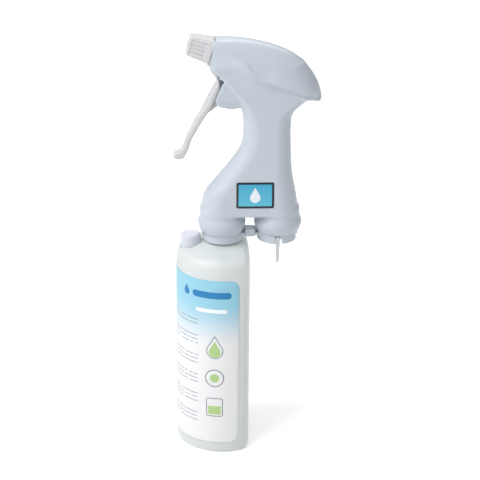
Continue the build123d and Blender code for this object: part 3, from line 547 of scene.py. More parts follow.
# Leg outline: height, radius
LEG_X = SOCKET_X + 0.7
LEG = [
    (173.5, SKIRT_R + 0.9),
    (176.5, SKIRT_R + 2.1),
    (181.3, 18.0),
    (185.8, 16.7),
    (HANDLE_LOW_Z, 16.0),
]
LEG_LOW_Z = LEG[0][0]
LEG_OVERLAP = 4.0           # how far the legs reach up into the handle
GUARD_CENTRE = (-14.5, 295.0)
GUARD_R = 23.2
GUARD_HALF = 9.9
GUARD_WALL = 1.5
GUARD_NARROWING = 1.8       # the guard's half width is this much less below the pump
GUARD_FRONT = [(-24.6, 268), (-26.6, 279.5), (-21.4, 291.5), (-17.0, 294.0), (0, 294.0), (0, 268)]
# Mouth that the trigger moves in, a slot in front of the piston, and seats for the inner parts
MOUTH = [
    (-34, 297), (-20, 285), (-14, 291), (-12.8, 302.5),
    (-15, 304), (-22, 308.4), (-28.6, 308.4), (-30.2, 304.2), (-34, 303.4),
]
MOUTH_HALF = 6.6
SLOT_CENTRE = (-24.0, 282.0)
SLOT_HALF = (10.0, 10.1)
BARREL_SEAT_R = 8.6
BARREL_SEAT_X = -5.5
BARREL_SEAT_HALF = 11.5
PIPE_HOLE_R = 4.6
PIPE_HOLE_REACH = 5.0
SOCKET_SEAT_R = SKIRT_R + 0.06
SOCKET_SEAT_Z = 187.05


def handle_field(x, y, z):
    """Handle: stadium sections that widen down to the two legs."""
    front, rear, half = sections(HANDLE, z)
    corner = half * sections(HANDLE_CORNER, z)[0]
    side = rounded_rectangle(x - (front + rear) / 2, y, (rear - front) / 2, half, corner)
    ends = np.maximum(HANDLE_LOW_Z - z, z - HANDLE_HIGH_Z)
    return smooth_max(side, ends, 2.0)


def hood_field(x, y, z):
    """Hood: square at the nozzle, domed behind, with a soft tip at the rear."""
    under, widest, top, half, power = sections(HOOD, x)
    reach = np.where(z > widest, top - widest, widest - under)
    u = np.abs(y) / half + 1e-6
    v = np.abs(z - widest) / reach + 1e-6
    size = (u**power + v**power) ** (1 / power)
    slope = np.hypot((u / size) ** (power - 1) / half, (v / size) ** (power - 1) / reach)
    section = (size - 1) / slope
    front, _ = nozzle_frame(x, z)
    section = smooth_max(section, front, 0.5)
    return smooth_max(section, x - HOOD_END_X, 1.2)


def hood_relief(x, y, z):
    """How far the hood's surface lies inside its plain form, in millimetres."""
    line = sections(CREASE, x)[0]
    run = ramp(x - CREASE_START_X, 16) * ramp(HOOD_END_X + 1.5 - x, 4)
    crease = CREASE_DEPTH * run * bell(z - line, CREASE_WIDTH)
    rim = RIM_HEIGHT * run * ramp(x - RIM_START_X, 14) * bell(z - line + RIM_DROP, RIM_WIDTH)
    line = sections(RIDGE, x)[0]
    ridge = RIDGE_HEIGHT * ramp(RIDGE_END_X - x, 8) * bell(z - line, RIDGE_WIDTH)
    dimple = DIMPLE_DEPTH * bell(np.hypot(x - DIMPLE[0], z - DIMPLE[1]), DIMPLE_WIDTH)
    return (crease - ridge + dimple) * ramp(np.abs(y) - 4, 4) - rim


def leg_field(x, y, z, side):
    """Leg with its bead, turned about one leg axis."""
    wall = np.hypot(x - side * LEG_X, y) - sections(LEG, z)[0]
    ends = np.maximum(LEG_LOW_Z - z, z - HANDLE_LOW_Z - LEG_OVERLAP)
    return smooth_max(wall, ends, 1.0)


def guard_half(z):
    """Half width of the guard, which narrows downwards."""
    return GUARD_HALF - GUARD_NARROWING * ramp(PISTON_Z - 3 - z, 7)


def guard_field(x, y, z):
    """Round guard below the hood, narrower than the handle."""
    disc = np.hypot(x - GUARD_CENTRE[0], z - GUARD_CENTRE[1]) - GUARD_R
    edge = smooth_max(disc, polygon(x, z, GUARD_FRONT), 1.2)
    return smooth_max(edge, np.abs(y) - guard_half(z), 1.4)


def head_outside(x, y, z):
    """Whole outside of the head."""
    legs = smooth_min(leg_field(x, y, z, -1), leg_field(x, y, z, 1), 0.5)
    body = smooth_min(handle_field(x, y, z), legs, 2.5)
    # the hood meets the handle crisply at the front of the mid plane, softly on the flanks and behind
    rear = ramp(x - 5, 25)
    blend = (3 + 7 * soft_ramp(np.abs(y), 8)) * (1 - rear) + 9 * rear
    body = smooth_min(body, hood_field(x, y, z), blend) + hood_relief(x, y, z)
    return smooth_min(body, guard_field(x, y, z), 0.8)


def head_openings(x, y, z):
    """Fields of the mouth, the slot behind it, the barrel's and the pipe's holes and the sockets' seats."""
    mouth = smooth_max(polygon(x, z, MOUTH), np.abs(y) - MOUTH_HALF, 0.6)
    slot = rounded_rectangle(x - SLOT_CENTRE[0], z - SLOT_CENTRE[1], *SLOT_HALF, 1)
    slot = smooth_max(slot, np.abs(y) - (guard_half(z) - GUARD_WALL), 0.6)
    barrel = np.hypot(y, z - PISTON_Z) - BARREL_SEAT_R
    barrel = np.maximum(barrel, np.abs(x - BARREL_SEAT_X) - BARREL_SEAT_HALF)
    along, above = nozzle_frame(x, z)
    pipe = np.maximum(np.hypot(y, above) - PIPE_HOLE_R, np.abs(along) - PIPE_HOLE_REACH)
    from_axis = np.minimum(np.hypot(x - SOCKET_X, y), np.hypot(x + SOCKET_X, y))
    seats = np.maximum(from_axis - SOCKET_SEAT_R, z - SOCKET_SEAT_Z)
    return mouth, slot, barrel, pipe, seats


def head_field(x, y, z):
    """Hollow head with its openings."""
    outside = head_outside(x, y, z)
    inside = np.maximum(outside + WALL, x - HOOD_END_X + TIP_WALL)
    hollow = smooth_max(outside, -inside, 0.3)
    return cut_out(hollow, head_openings(x, y, z), 0.5)


SPLIT_GAP = 0.02            # each shell ends this far from the mid plane


def half_head(whole, name, side):
    """One of the two shells: the whole head cut at the mid plane and closed there."""
    mesh = bmesh.new()
    mesh.from_mesh(whole.data)
    cut = bmesh.ops.bisect_plane(
        mesh,
        geom=mesh.verts[:] + mesh.edges[:] + mesh.faces[:],
        plane_co=(0, side * SPLIT_GAP * MM, 0),
        plane_no=(0, -side, 0),
        clear_outer=True,
        dist=1e-7,
    )
    edges = [item for item in cut["geom_cut"] if isinstance(item, bmesh.types.BMEdge)]
    bmesh.ops.triangle_fill(mesh, edges=edges, use_beauty=True, normal=(0, -side, 0))
    half = bpy.data.meshes.new(name)
    mesh.to_mesh(half)
    mesh.free()
    half.shade_smooth()
    for face in half.polygons:
        face.use_smooth = abs(face.center.y) > 1.5 * SPLIT_GAP * MM
    return place(name, half)


def make_head(plastic):
    """Left and right shells."""
    whole = solid("head", head_field, (-38.5, -22.2, LEG_LOW_Z), (52, 22.2, 325), 0.6)
    for name, node, side in (("shell_left", "left_shell", -1), ("shell_right", "right_shell", 1)):
        piece = half_head(whole, name, side)
        dress(piece, plastic, "head", "head_plastic", node)
    bpy.data.objects.remove(whole)


def dress(piece, material, body, slot, *nodes):
    """Give a piece its material and its body, and hide the CAD nodes it stands for. The slot argument is not used.
    """
    piece.data.materials.clear()
    piece.data.materials.append(material)
    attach(piece, body)
    if nodes:
        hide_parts(*nodes)


# ---------------------------------- nozzle
NOZZLE_START = 0.3
NOZZLE_LENGTH = 18.0
NOZZLE_REAR_HALF = 9.1
NOZZLE_TAPER = 2.1          # the half width is this much less at the front
NOZZLE_DROP = 0.5           # the outside lies this far below the pipe's axis
NOZZLE_BAND = 4.6           # smooth band next to the head
NOZZLE_RIM = 1.2            # smooth rim at the front
RIB_PITCH = 2.9
RIB_DEPTH = 0.8
RIB_ZONE_HALF = 6.2
PIPE_SEAT_R = 4.25
PIPE_SEAT_DEPTH = 9.8
JET_RECESS_R = 3.6
JET_RECESS_DEPTH = 5.0
JET_R = 0.5


def nozzle_field(x, y, z):
    """Tapered rounded square with grip ribs along each side, bored for the pipe and the jet."""
    along, above = nozzle_frame(x, z)
    half = NOZZLE_REAR_HALF - NOZZLE_TAPER * ramp(along, NOZZLE_LENGTH)
    side = rounded_rectangle(y, above + NOZZLE_DROP, half, half, half * 0.3)
    wave = 0.5 - 0.5 * np.cos(2 * math.pi * above / RIB_PITCH)
    panel = ramp(along - NOZZLE_BAND, 0.8) * ramp(NOZZLE_LENGTH - NOZZLE_RIM - along, 0.8)
    flank = ramp(np.abs(y) - np.abs(above), 0.8) * ramp(RIB_ZONE_HALF - np.abs(above), 0.8)
    side = side + RIB_DEPTH * wave * panel * flank
    ends = np.maximum(NOZZLE_START - along, along - NOZZLE_LENGTH)
    cap = smooth_max(side, ends, 1.0)
    radial = np.hypot(y, above)
    seat = np.maximum(radial - PIPE_SEAT_R, along - PIPE_SEAT_DEPTH)
    recess = np.maximum(radial - JET_RECESS_R, NOZZLE_LENGTH - JET_RECESS_DEPTH - along)
    return cut_out(cap, (seat, recess, radial - JET_R), 0.3)


# ---------------------------------- trigger
TRIGGER_FRONT = [
    (-30.6, 301.6), (-25.9, 292.4), (-30.9, 279.5), (-44.7, 254.8), (-49.0, 245.0), (-50.9, 239.6),
]
TRIGGER_LIP = [
    (-50.9, 239.6), (-53.0, 237.0), (-56.2, 236.2), (-57.6, 233.8), (-56.0, 231.6), (-50.6, 231.7),
    (-46.4, 238.6),
]
TRIGGER_BACK = [
    (-46.4, 238.6), (-43.9, 246.4), (-38.8, 256.2), (-26.6, 277.8), (-22.4, 287.6), (-23.4, 293.0),
    (-24.6, 299.0),
]
FRONT_LINE = curve(TRIGGER_FRONT, 30)
TRIGGER_PROFILE = FRONT_LINE[:-1] + curve(TRIGGER_LIP, 20)[:-1] + curve(TRIGGER_BACK, 30)
# Height, half width of the lever
TRIGGER_HALF = [(234.0, 4.0), (252.0, 4.9), (272.0, 5.8), (290.0, 5.9)]
TRIGGER_SKIN = 2.0
TRIGGER_SIDE_WALL = 1.7
POCKET_Z = 264.5
POCKET_HALF_Z = 20.5
EYE_R = 3.4
PIN_R = 1.55
# Rib that pushes the piston. Its edge leans so that it meets the piston's dome squarely in mid stroke.
RIB = [(-22.6, 288), (-24.7, 272), (-34.5, 264.6), (-38, 268), (-27, 290)]
RIB_EDGE_X = -23.45
RIB_LEAN = math.tan(math.radians(7.5))
RIB_HALF = 1.4
FORK_CENTRE = (-27.0, 304.0)
FORK_HALF = (8.0, 6.4)
FORK_GAP_HALF = 2.9


def line_distance(u, v, line):
    """Distance to an open line of points."""
    best = np.full(np.broadcast(u, v).shape, 1e9)
    for (au, av), (bu, bv) in zip(line, line[1:]):
        eu, ev = bu - au, bv - av
        t = np.clip(((u - au) * eu + (v - av) * ev) / (eu * eu + ev * ev), 0, 1)
        best = np.minimum(best, np.hypot(u - au - eu * t, v - av - ev * t))
    return best


def trigger_field(x, y, z):
    """Curved lever, hollow behind, with a fork for the pin and a rib for the piston."""
    half = sections(TRIGGER_HALF, z)[0]
    from_pivot = np.hypot(x - PIVOT.x, z - PIVOT.z)
    outline = smooth_min(polygon(x, z, TRIGGER_PROFILE), from_pivot - EYE_R, 1.0)
    lever = smooth_max(outline, np.abs(y) - half, 1.8)
    behind_skin = TRIGGER_SKIN - line_distance(x, z, FRONT_LINE)
    pocket = smooth_max(behind_skin, np.abs(y) - (half - TRIGGER_SIDE_WALL), 0.6)
    pocket = np.maximum(pocket, np.abs(z - POCKET_Z) - POCKET_HALF_Z)
    lever = smooth_max(lever, -pocket, 0.5)
    rib = np.maximum(polygon(x, z, RIB), x - RIB_EDGE_X - (z - PISTON_Z) * RIB_LEAN)
    lever = smooth_min(lever, smooth_max(rib, np.abs(y) - RIB_HALF, 0.5), 0.6)
    fork = rounded_rectangle(x - FORK_CENTRE[0], z - FORK_CENTRE[1], *FORK_HALF, 1)
    fork = smooth_max(fork, np.abs(y) - FORK_GAP_HALF, 0.4)
    return cut_out(cut_out(lever, [fork], 0.4), [from_pivot - PIN_R], 0.3)


# ---------------------------------- sockets
BORE_R = 13.6
SOCKET_TOP_Z = 187.0
STEM_R = 4.4
# Half of one socket, turned about its axis: radius, height
SOCKET_PROFILE = [
    (BORE_R, SKIRT_Z), (SKIRT_R, SKIRT_Z), (SKIRT_R, SOCKET_TOP_Z), (STEM_R, SOCKET_TOP_Z),
    (STEM_R, CHAMBER_TOP_Z), (2.55, CHAMBER_TOP_Z), (2.55, CHAMBER_TOP_Z - 4), (2.2, CHAMBER_TOP_Z - 4),
    (2.2, 188.4), (1.3, 188.4), (1.3, 179.6), (3.2, 179.6), (3.2, 184.8), (11.6, 184.8),
    (11.6, 179.3), (10.8, 179.3), (10.8, 175), (BORE_R, 175),
]
STRUT_Y = 11.1
STRUT_Z = 169.5
STRUT_HALF = (1.1, 1.9)
WINDOW_Z = 172.0
WINDOW_HALF_Z = 1.1
PRONG_Y = 13.6
PRONG_SLOT_Z = 168.35
PRONG_RECESS = [(1.7, 173.0), (1.7, 166), (4.6, 166)]
RECESS_DEPTH = 1.0


def socket_openings(x, y, z, side):
    """Latch windows and the prong's slot and recess in one socket."""
    inner = rounded_rectangle(x - side * (SOCKET_X - 13.5), z - WINDOW_Z, 3.5, WINDOW_HALF_Z, 0.2)
    inner = np.maximum(inner, np.abs(y) - 6.2)
    outer = rounded_rectangle(x - side * (SOCKET_X + 14.2), z - WINDOW_Z, 1.3, WINDOW_HALF_Z, 0.2)
    outer = np.maximum(outer, np.abs(y) - 3.6)
    across = (x - side * SOCKET_X) * side
    outwards = -y * side
    slot = np.maximum(rounded_rectangle(across, z - PRONG_SLOT_Z, 1.65, 5, 0.3), 11.8 - outwards)
    recess = polygon(across, z, PRONG_RECESS)
    recess = np.maximum(recess, SKIRT_R - RECESS_DEPTH - np.hypot(across, y))
    return inner, outer, slot, np.maximum(recess, -outwards)


def sockets_field(x, y, z):
    """Both sockets and the strut behind the release bar, with the prong slots and latch windows."""
    front, rear = np.hypot(x + SOCKET_X, y), np.hypot(x - SOCKET_X, y)
    turned = np.minimum(polygon(front, z, SOCKET_PROFILE), polygon(rear, z, SOCKET_PROFILE))
    strut = np.maximum(rounded_rectangle(y - STRUT_Y, z - STRUT_Z, *STRUT_HALF, 0.4), np.abs(x) - 13)
    inside_skirts = np.minimum(front, rear) - BORE_R - 0.6
    body = smooth_min(turned, np.maximum(strut, -inside_skirts), 0.4)
    for side in (-1, 1):
        body = cut_out(body, socket_openings(x, y, z, side), 0.25)
    return body


# ---------------------------------- release bar
BAR_HALF = (3.8, 3.05)
BAR_Z = 172.95
BAR_FRONT_Y = -6.4
BAR_REAR_Y = 3.0
PLATE_Z = 172.0
PLATE_HALF = 1.0
RING_INNER_R = 11.75
RING_OUTER_R = 12.65
TAB_HALF = (1.8, 2.6)


def latch_ring(x, y, side):
    """Ring round one neck with the tab that guides it in the socket's outer window."""
    radius = np.hypot(x - side * SOCKET_X, y)
    ring = np.maximum(radius - RING_OUTER_R, RING_INNER_R - radius)
    return np.minimum(ring, rounded_rectangle(x - side * (SOCKET_X + 13.9), y, *TAB_HALF, 0.2))


def latch_field(x, y, z):
    """Push bar between the sockets, on a plate with a ring round each neck."""
    from_middle = y - middle("latch_slide").y
    rings = np.minimum(latch_ring(x, from_middle, -1), latch_ring(x, from_middle, 1))
    bridge = np.maximum(np.abs(x) - SOCKET_X + 12.2, np.abs(from_middle) - 5.2)
    plate = smooth_max(np.minimum(rings, bridge), np.abs(z - PLATE_Z) - PLATE_HALF, 0.2)
    bar = rounded_rectangle(x, z - BAR_Z, *BAR_HALF, 0.5)
    bar = smooth_max(bar, np.maximum(BAR_FRONT_Y - y, y - BAR_REAR_Y), 0.6)
    return smooth_min(plate, bar, 0.2)


# ---------------------------------- bottle
BOTTLE_WALL = 1.5
SIDE_TOP_Z = 152.0
SHOULDER_R = 10.0
BASE_R = 3.0
NECK_BASE_Z = 166.0
CONE = 29.0                 # angle of the shoulder's cone, in degrees
CORNER = 6.0                # rounding between the flat side and the round one
NECK_BORE_R = 8.8
PUSH_UP_MARGIN = 8.0        # the recess in the base stays this far inside the outline
PUSH_UP_DEPTH = 1.4
SPOUT_R = 4.6
SPOUT_WALL = 1.2
SPOUT_TOP_Z = 166.2
POCKET_R = 2.6
POCKET_WALL = 1.2
POCKET_LOW_Z = 151.3
LUG_R = 1.3
LUG_Y = 2.3
LUG_HALF_Y = 0.7


def bottle_outside(x, y, z):
    """Bottle's outside: turned, cut by the flat side, with the neck on top."""
    radius = np.hypot(x - BOTTLE_X, y)
    shoulder = arc((BOTTLE_R - SHOULDER_R, SIDE_TOP_Z), SHOULDER_R, 0, 90 - CONE)
    base = arc((BOTTLE_R - BASE_R, BASE_R), BASE_R, -90, 0, 6)
    profile = [(-1, 0)] + base + shoulder + [(NECK_R - 1, NECK_BASE_Z + 0.5), (-1, NECK_BASE_Z + 0.5)]
    body = smooth_max(polygon(radius, z, profile), x - BOTTLE_FLAT_X, CORNER)
    neck = np.maximum(radius - NECK_R, np.abs(z - NECK_BASE_Z - 2) - (NECK_TOP_Z - NECK_BASE_Z - 2))
    return smooth_min(body, neck, 1.6)


def hinge_lugs(x, y, z):
    """Two lugs on the shoulder that hold the cap's hinge pin."""
    lugs = np.hypot(x - HINGE_X, z - HINGE_Z) - LUG_R
    foot = rounded_rectangle(x - HINGE_X - 0.6, z - HINGE_Z + 1.2, 1.2, 1.2, 0.3)
    return smooth_max(smooth_min(lugs, foot, 0.3), np.abs(np.abs(y) - LUG_Y) - LUG_HALF_Y, 0.3)


def bottle_field(x, y, z):
    """Hollow bottle with its filler spout, the prong's pocket, the hinge lugs and a recessed base."""
    radius = np.hypot(x - BOTTLE_X, y)
    from_spout = np.hypot(x - CAP_X, y)
    from_pocket = np.hypot(x - BOTTLE_X, y - PRONG_Y - 0.85)
    push_up = smooth_max(radius - (BOTTLE_R - PUSH_UP_MARGIN), x - (BOTTLE_FLAT_X - PUSH_UP_MARGIN), 4)
    push_up = smooth_max(push_up, np.abs(z) - PUSH_UP_DEPTH, 0.8)
    outside = cut_out(bottle_outside(x, y, z), [push_up], 0.8)
    spout = np.maximum(from_spout - SPOUT_R, np.maximum(z - SPOUT_TOP_Z, SIDE_TOP_Z - z))
    whole = smooth_min(smooth_min(outside, spout, 0.8), hinge_lugs(x, y, z), 0.3)
    inner = outside + BOTTLE_WALL
    pocket_wall = np.maximum(from_pocket - POCKET_R - POCKET_WALL, POCKET_LOW_Z - POCKET_WALL - z)
    inner = np.maximum(inner, -pocket_wall)
    inner = np.minimum(inner, np.maximum(from_spout - SPOUT_R + SPOUT_WALL, np.abs(z - 162) - 7))
    inner = np.minimum(inner, np.maximum(radius - NECK_BORE_R, np.abs(z - 175) - 12))
    shell = smooth_max(whole, -inner, 0.3)
    pocket = np.maximum(from_pocket - POCKET_R, POCKET_LOW_Z - z)
    return smooth_max(shell, -pocket, 0.4)


CAP_R = high("fill_cap").y
CAP_LOW_Z = 161.2
CAP_TOP_Z = high("fill_cap").z
CAP_SIDE_WALL = 1.2
CAP_TOP_WALL = 1.4
KNUCKLE_R = 1.15
KNUCKLE_HALF = 1.35
PIN_HOLE_R = 0.66
SHOULDER_GAP = 0.12


def cap_field(x, y, z):
    """Soft-edged flip cap, hollow below, with its hinge knuckle."""
    radius = np.hypot(x - CAP_X, y)
    cap = smooth_max(radius - CAP_R, z - CAP_TOP_Z, 2.6)
    cap = smooth_max(cap, CAP_LOW_Z - z, 0.3)
    hollow = smooth_max(radius - CAP_R + CAP_SIDE_WALL, z - CAP_TOP_Z + CAP_TOP_WALL, 2.4)
    cap = smooth_max(cap, -hollow, 0.3)
    arm = [
        (HINGE_X - KNUCKLE_R, HINGE_Z),
        (HINGE_X + 1.2, HINGE_Z + 0.5),
        (HINGE_X + 2.4, HINGE_Z + 3.6),
        (HINGE_X + 1.2, HINGE_Z + 3.6),
    ]
    from_hinge = np.hypot(x - HINGE_X, z - HINGE_Z)
    knuckle = smooth_min(polygon(x, z, arm), from_hinge - KNUCKLE_R, 0.3)
    cap = smooth_min(cap, smooth_max(knuckle, np.abs(y) - KNUCKLE_HALF, 0.2), 0.3)
    cap = np.maximum(cap, SHOULDER_GAP - bottle_outside(x, y, z))
    return smooth_max(cap, PIN_HOLE_R - from_hinge, 0.2)


# ---------------------------------- label and badge
FILM_GAP = 0.04             # glue between a printed film and what it lies on


class Film:
    """Flat size of a printed film with round corners, in millimetres."""

    def __init__(self, width, height, corner):
        self.width = width
        self.height = height
        self.corner = corner

    def spot(self, i, j):
        """Where the point i, j (0 to 1) is on the flat film, from its lower left corner."""
        rise = j * self.height
        from_end = min(rise, self.height - rise)
        inset = 0.0
        if from_end < self.corner:
            inset = self.corner - math.sqrt(self.corner**2 - (self.corner - from_end) ** 2)
        return inset + i * (self.width - 2 * inset), rise

    def on_print(self, i, j):
        """The same place as shares of the film's width and height."""
        along, rise = self.spot(i, j)
        return along / self.width, rise / self.height


LABEL_LOW_Z = low("bottle_label").z
LABEL_END = -71.0           # angle of the label's edge next to the flat side, in degrees
LABEL_SWEEP = 144.0
LABEL = Film(math.radians(LABEL_SWEEP) * BOTTLE_R, high("bottle_label").z - LABEL_LOW_Z, 7.0)


def make_label():
    """Printed film round the bottle's left side and front, without any lettering."""
    def point(i, j):
        along, rise = LABEL.spot(i, j)
        angle = math.radians(LABEL_END - LABEL_SWEEP) + along / BOTTLE_R
        reach = BOTTLE_R + FILM_GAP
        return BOTTLE_X + reach * math.cos(angle), reach * math.sin(angle), LABEL_LOW_Z + rise

    piece = sheet("label_film", point, LABEL.on_print, 96, 150, 0.18)
    dress(piece, label_print(), "bottle", "label", "bottle_label")


def text_lines(art, zone):
    """Mask distance of short broken bars in groups of rows, inside a zone."""
    pitch = 3.3
    row = art.math("FLOOR", art.math("DIVIDE", art.v, pitch))
    in_row = art.math("SUBTRACT", art.v, art.math("MULTIPLY", row, pitch))
    line = art.math("SUBTRACT", art.math("ABSOLUTE", art.math("SUBTRACT", in_row, 0.9)), 0.42)
    across = art.math("MULTIPLY", art.u, 0.42)
    spot = art.node("ShaderNodeCombineXYZ", X=across, Y=art.math("MULTIPLY", row, 7.3))
    words = art.node("ShaderNodeTexNoise", Vector=spot.outputs[0], Scale=1.0, Detail=1.0)
    gaps = art.math("MULTIPLY", art.math("SUBTRACT", 0.40, words.outputs["Fac"]), 8.0)
    blank = art.math("SUBTRACT", art.math("MODULO", row, 5.0), 2.5)
    return art.math("MAXIMUM", art.math("MAXIMUM", line, gaps), art.math("MAXIMUM", blank, zone))


def symbol(art, colour, kind, u, v):
    """One of the three plain symbols, a green shape in a grey outline, laid over a colour."""
    green = tone(176, 208, 138)
    grey = tone(92, 100, 110)
    if kind == "drop":
        colour = art.paint(colour, art.drop(u, v - 3, 4.6), green)
        return art.paint(colour, art.ring(art.drop(u, v - 2, 6.2), 0.3), grey)
    if kind == "ring":
        colour = art.paint(colour, art.ring(art.disc(u, v, 7.0), 0.35), grey)
        return art.paint(colour, art.disc(u, v, 3.6), green)
    colour = art.paint(colour, art.box(u, v - 2.6, 5.0, 3.6, 0.6), green)
    return art.paint(colour, art.ring(art.box(u, v, 6.2, 7.6, 1.6), 0.3), grey)


def label_print():
    """Blue at the top fading to white, a plain title bar, grey line bars and three plain symbols."""
    width, height = LABEL.width, LABEL.height
    art = Print("label_print", width, height)
    fade = art.node("ShaderNodeMapRange", Value=art.v, From_Min=height - 58, From_Max=height - 16)
    fade.interpolation_type = "SMOOTHSTEP"
    colour = art.mix(fade.outputs["Result"], tone(236, 236, 238), tone(148, 206, 228))
    # title bar with a drop in front of it, and a thin pale bar below
    blue = tone(24, 126, 186)
    title_u, title_v = width - 21.5, height - 12
    colour = art.paint(colour, art.box(title_u, title_v, 15.5, 2.7, 2.5), blue)
    colour = art.paint(colour, art.drop(title_u - 21.5, title_v - 0.6, 2.9), blue)
    colour = art.paint(colour, art.box(title_u, title_v - 13, 12.5, 1.5, 1.4), tone(244, 250, 253))
    lines = text_lines(art, art.box(width - 51, height * 0.43, 19, 46))
    colour = art.mix(art.math("MULTIPLY", art.inside(lines), 0.7), colour, tone(120, 128, 138))
    for step, kind in enumerate(("drop", "ring", "box")):
        colour = symbol(art, colour, kind, width - 18.5, height * 0.59 - step * 25)
    return art.film(colour, 0.34, 0.02)


BADGE_LOW = low("badge")
BADGE = Film(high("badge").x - BADGE_LOW.x, high("badge").z - BADGE_LOW.z, 1.0)


def make_badge():
    """Thin printed badge that follows the handle's left side."""
    columns, rows = 40, 30
    spots = [BADGE.spot(i / columns, j / rows) for j in range(rows + 1) for i in range(columns + 1)]
    points = np.array([(BADGE_LOW.x + along, -20.0, BADGE_LOW.z + rise) for along, rise in spots])
    # walk the points inwards until they lie on the head
    for _ in range(12):
        points[:, 1] += 0.9 * head_outside(*points.T)
    points[:, 1] -= FILM_GAP

    def point(i, j):
        return points[round(j * rows) * (columns + 1) + round(i * columns)]

    piece = sheet("badge_film", point, BADGE.on_print, columns, rows, 0.2)
    dress(piece, badge_print(), "head", "badge", "badge")


def badge_print():
    """Cyan panel with a plain white drop in a dark frame."""
    art = Print("badge_print", BADGE.width, BADGE.height)
    half_u, half_v = BADGE.width / 2, BADGE.height / 2
    frame_width = 1.6
    cyan = art.mix(art.math("DIVIDE", art.v, BADGE.height), tone(96, 190, 216), tone(62, 168, 206))
    panel = art.box(half_u, half_v, half_u - frame_width, half_v - frame_width, 0.3)
    colour = art.paint(tone(18, 26, 34), panel, cyan)
    colour = art.paint(colour, art.drop(half_u, half_v - 1.8, 3.9), tone(232, 238, 246))
    return art.film(colour, 0.3, 0.01)


# ---------------------------------- springs
def make_spring(node, material, axis, wire, turns):
    """Coil in place of a CAD spring, along axis 0 (X) or 1 (Y)."""
    lowest, highest = low(node), high(node)
    start, end = middle(node), middle(node)
    start[axis] = lowest[axis]
    end[axis] = highest[axis]
    along = (end - start).normalized()
    side = along.orthogonal().normalized()
    other = along.cross(side)
    length = (end - start).length
    radius = (highest.z - lowest.z) / 2 - wire
    steps, corners = 28 * turns, 10
    points = []
    for i in range(steps + 1):
        turn = 2 * math.pi * turns * i / steps
        out = side * math.cos(turn) + other * math.sin(turn)
        centre = start + along * (wire + (length - 2 * wire) * i / steps) + out * radius
        for k in range(corners):
            lean = 2 * math.pi * k / corners
            points.append(centre + (out * math.cos(lean) + along * math.sin(lean)) * wire)
    faces = [list(range(corners)), list(range(steps * corners, (steps + 1) * corners))[::-1]]
    for i in range(steps):
        for k in range(corners):
            a, b = i * corners + k, i * corners + (k + 1) % corners
            faces.append([a, a + corners, b + corners, b])
    piece = place(node + "_coil", smooth_mesh(node + "_coil", points, faces))
    dress(piece, material, "head", "steel", node)
    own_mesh(piece)


# ---------------------------------- kept CAD nodes
def soften(node, radius):
    """Round a CAD node's edges with modifiers, its own mesh untouched."""
    piece = frame["nodes"][node]
    weld = piece.modifiers.new("weld", "WELD")
    weld.merge_threshold = 0.001 * MM
    edges = piece.modifiers.new("edges", "BEVEL")
    edges.width = radius * MM
    edges.segments = 3
    edges.limit_method = "ANGLE"
    edges.angle_limit = math.radians(40)
    edges.harden_normals = True


def dress_cad(materials):
    """Material, chosen by the record's slot, for every CAD node that is still shown."""
    slots = {part["node"]: part["material_slot"] for part in frame["record"]["subparts"]}
    for node, piece in frame["nodes"].items():
        if piece.hide_render:
            continue
        piece.data.materials.clear()
        piece.data.materials.append(materials[slots[node]])


# ---------------------------------- stage
def make_floor():
    """Plain white floor with a faint paper grain."""
    mesh = bpy.data.meshes.new("floor")
    reach = 6.0
    corners = [(-reach, -reach, 0), (reach, -reach, 0), (reach, reach, 0), (-reach, reach, 0)]
    mesh.from_pydata(corners, [], [(0, 1, 2, 3)])
    floor = place("floor", mesh)
    graph = Graph("floor_paper")
    shade = graph.mix(graph.noise(60, 2), (0.93, 0.93, 0.93, 1), (0.95, 0.95, 0.95, 1))
    made = graph.node("ShaderNodeBsdfPrincipled", Base_Color=shade, Roughness=0.8)
    made.inputs["Specular IOR Level"].default_value = 0.1
    made.inputs["Emission Color"].default_value = (1, 1, 1, 1)
    seen = graph.node("ShaderNodeLightPath").outputs["Is Camera Ray"]
    graph.feed(made.inputs["Emission Strength"], graph.math("MULTIPLY", seen, 0.28))
    mesh.materials.append(graph.finish(made.outputs[0]))


LIGHT_TARGET = Vector((0, 0, 0.2))


def make_light(name, place_at, size, power):
    """White square soft box aimed at the object."""
    data = bpy.data.lights.new(name, "AREA")
    data.shape = "SQUARE"
    data.size = size
    data.energy = power
    lamp = bpy.data.objects.new(name, data)
    lamp.location = place_at
    lamp.rotation_euler = (LIGHT_TARGET - Vector(place_at)).to_track_quat("-Z", "Y").to_euler()
    bpy.context.scene.collection.objects.link(lamp)


def make_world():
    """White surroundings, brighter overhead than at the sides."""
    world = bpy.data.worlds.new("studio")
    world.use_nodes = True
    tree = world.node_tree
    direction = tree.nodes.new("ShaderNodeTexCoord")
    parts = tree.nodes.new("ShaderNodeSeparateXYZ")
    strength = tree.nodes.new("ShaderNodeMapRange")
    strength.inputs["To Min"].default_value = 0.2
    strength.inputs["To Max"].default_value = 0.72
    background = tree.nodes["Background"]
    background.inputs["Color"].default_value = (1.0, 1.0, 1.0, 1)
    tree.links.new(direction.outputs["Generated"], parts.inputs[0])
    tree.links.new(parts.outputs["Z"], strength.inputs["Value"])
    tree.links.new(strength.outputs["Result"], background.inputs["Strength"])
    bpy.context.scene.world = world
    bpy.context.scene.view_settings.view_transform = "Standard"


CAMERA_OFFSET = Vector((-0.00344, 0.00014, 0.00126))
CAMERA_TARGET = (CAD_BOUNDS[0] + CAD_BOUNDS[1]) / 2 + CAMERA_OFFSET
CAMERA_DISTANCE = 1.3592
CAMERA_AZIMUTH = 3.035      # degrees round from straight on, towards the front
CAMERA_ELEVATION = 23.138
CAMERA_ROLL = 0.615
CAMERA_LENS = 134.4


